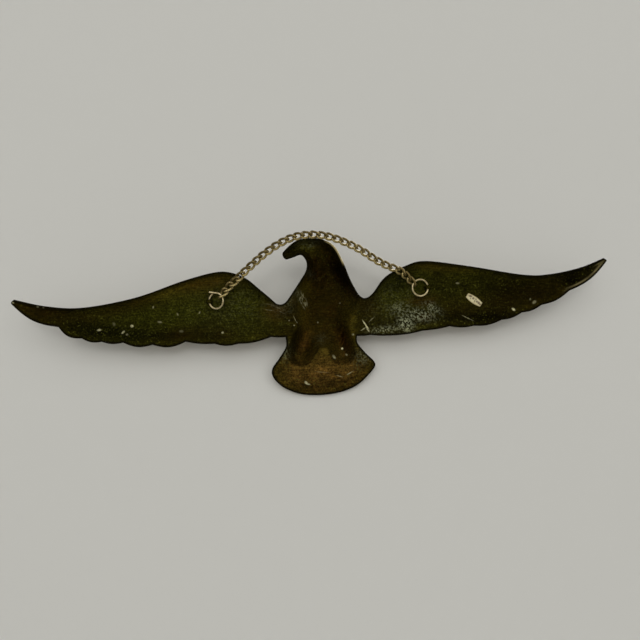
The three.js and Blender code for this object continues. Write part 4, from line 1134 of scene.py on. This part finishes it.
shell_y, shell_z = (casting_verts - HANG).T[1:] * MM
sheet_y = (shell_y + SHEET["lean"] * shell_z).min() - SHEET["gap"]
wide, low, top = SHEET["half_width"], FLOOR["height"], SHEET["top"]
corners = ((-wide, low), (-wide, top), (wide, top), (wide, low))
corners = [(x, sheet_y - SHEET["lean"] * z, z) for x, z in corners]
paper = plane("paper", corners, paper_material("paper_sheet", (0.745, 0.74, 0.705), True))
paper.visible_shadow = False
paper.visible_diffuse = False
paper.visible_glossy = False
reach = FLOOR["reach"]
corners = [(x, y, low) for x, y in ((-reach, -reach), (reach, -reach), (reach, reach), (-reach, reach))]
plane("floor", corners, paper_material("floor_sheet", (0.42, 0.42, 0.41), False))


# The lights
def soft_light(name, direction, spread, strength, colour):
    """A distant light from this direction, as wide in the sky as the spread in degrees."""
    data = bpy.data.lights.new(name, "SUN")
    data.angle = math.radians(spread)
    data.energy = strength
    data.color = colour
    add_to_scene(name, data).rotation_euler = Vector(direction).to_track_quat("Z", "Y").to_euler()


soft_light("window", (0.0, 0.86, 0.50), 105, 0.8, (1.0, 0.99, 0.96))
soft_light("overhead", (0.0, 0.97, 0.24), 90, 0.55, (1.0, 0.99, 0.96))
soft_light("glint", (0.1, 0.93, 0.36), 16, 0.22, (1.0, 0.99, 0.96))
soft_light("front", (-0.55, -0.70, 0.50), 60, 3.3, (1.0, 0.99, 0.97))
soft_light("side", (0.85, -0.45, 0.2), 50, 0.6, (1.0, 0.99, 0.98))

scene = bpy.context.scene
scene.view_settings.view_transform = "Standard"
scene.world = bpy.data.worlds.new("studio")
scene.world.use_nodes = True
nodes, links = scene.world.node_tree.nodes, scene.world.node_tree.links
nodes.clear()
path = nodes.new("ShaderNodeLightPath")
choose = nodes.new("ShaderNodeMixShader")
output = nodes.new("ShaderNodeOutputWorld")
links.new(path.outputs["Is Camera Ray"], choose.inputs[0])
# What lights the eagle from all round, and what the camera sees behind the stage.
for place, colour, strength in ((1, (0.95, 0.95, 0.92), 0.2), (2, (0.62, 0.62, 0.605), 1)):
    background = nodes.new("ShaderNodeBackground")
    background.inputs["Color"].default_value = (*colour, 1)
    background.inputs["Strength"].default_value = strength
    links.new(background.outputs[0], choose.inputs[place])
links.new(choose.outputs[0], output.inputs[0])

# The camera stands where the photo was taken from, behind the eagle, and is turned a little on its axis.
DISTANCE, YAW, PITCH, ROLL, LENS = 0.6, 4.559, 0.047, -4.128, 39.51
TARGET = Vector((-2.12, -2.0, -70.70)) * MM
yaw, pitch, roll = (math.radians(a) for a in (YAW, PITCH, ROLL))
behind = Vector((math.sin(yaw) * math.cos(pitch), math.cos(yaw) * math.cos(pitch), math.sin(pitch)))
level = Vector((0, 0, 1)).cross(behind).normalized()
upright = behind.cross(level)
right = level * math.cos(roll) + upright * math.sin(roll)
up = upright * math.cos(roll) - level * math.sin(roll)
camera_data = bpy.data.cameras.new("camera")
camera_data.lens = LENS
camera_data.sensor_width = 36
camera_data.clip_start, camera_data.clip_end = 0.01, 30
camera = add_to_scene("camera", camera_data)
camera.matrix_world = Matrix([*zip(right, up, behind, TARGET + behind * DISTANCE), (0, 0, 0, 1)])
scene.camera = camera
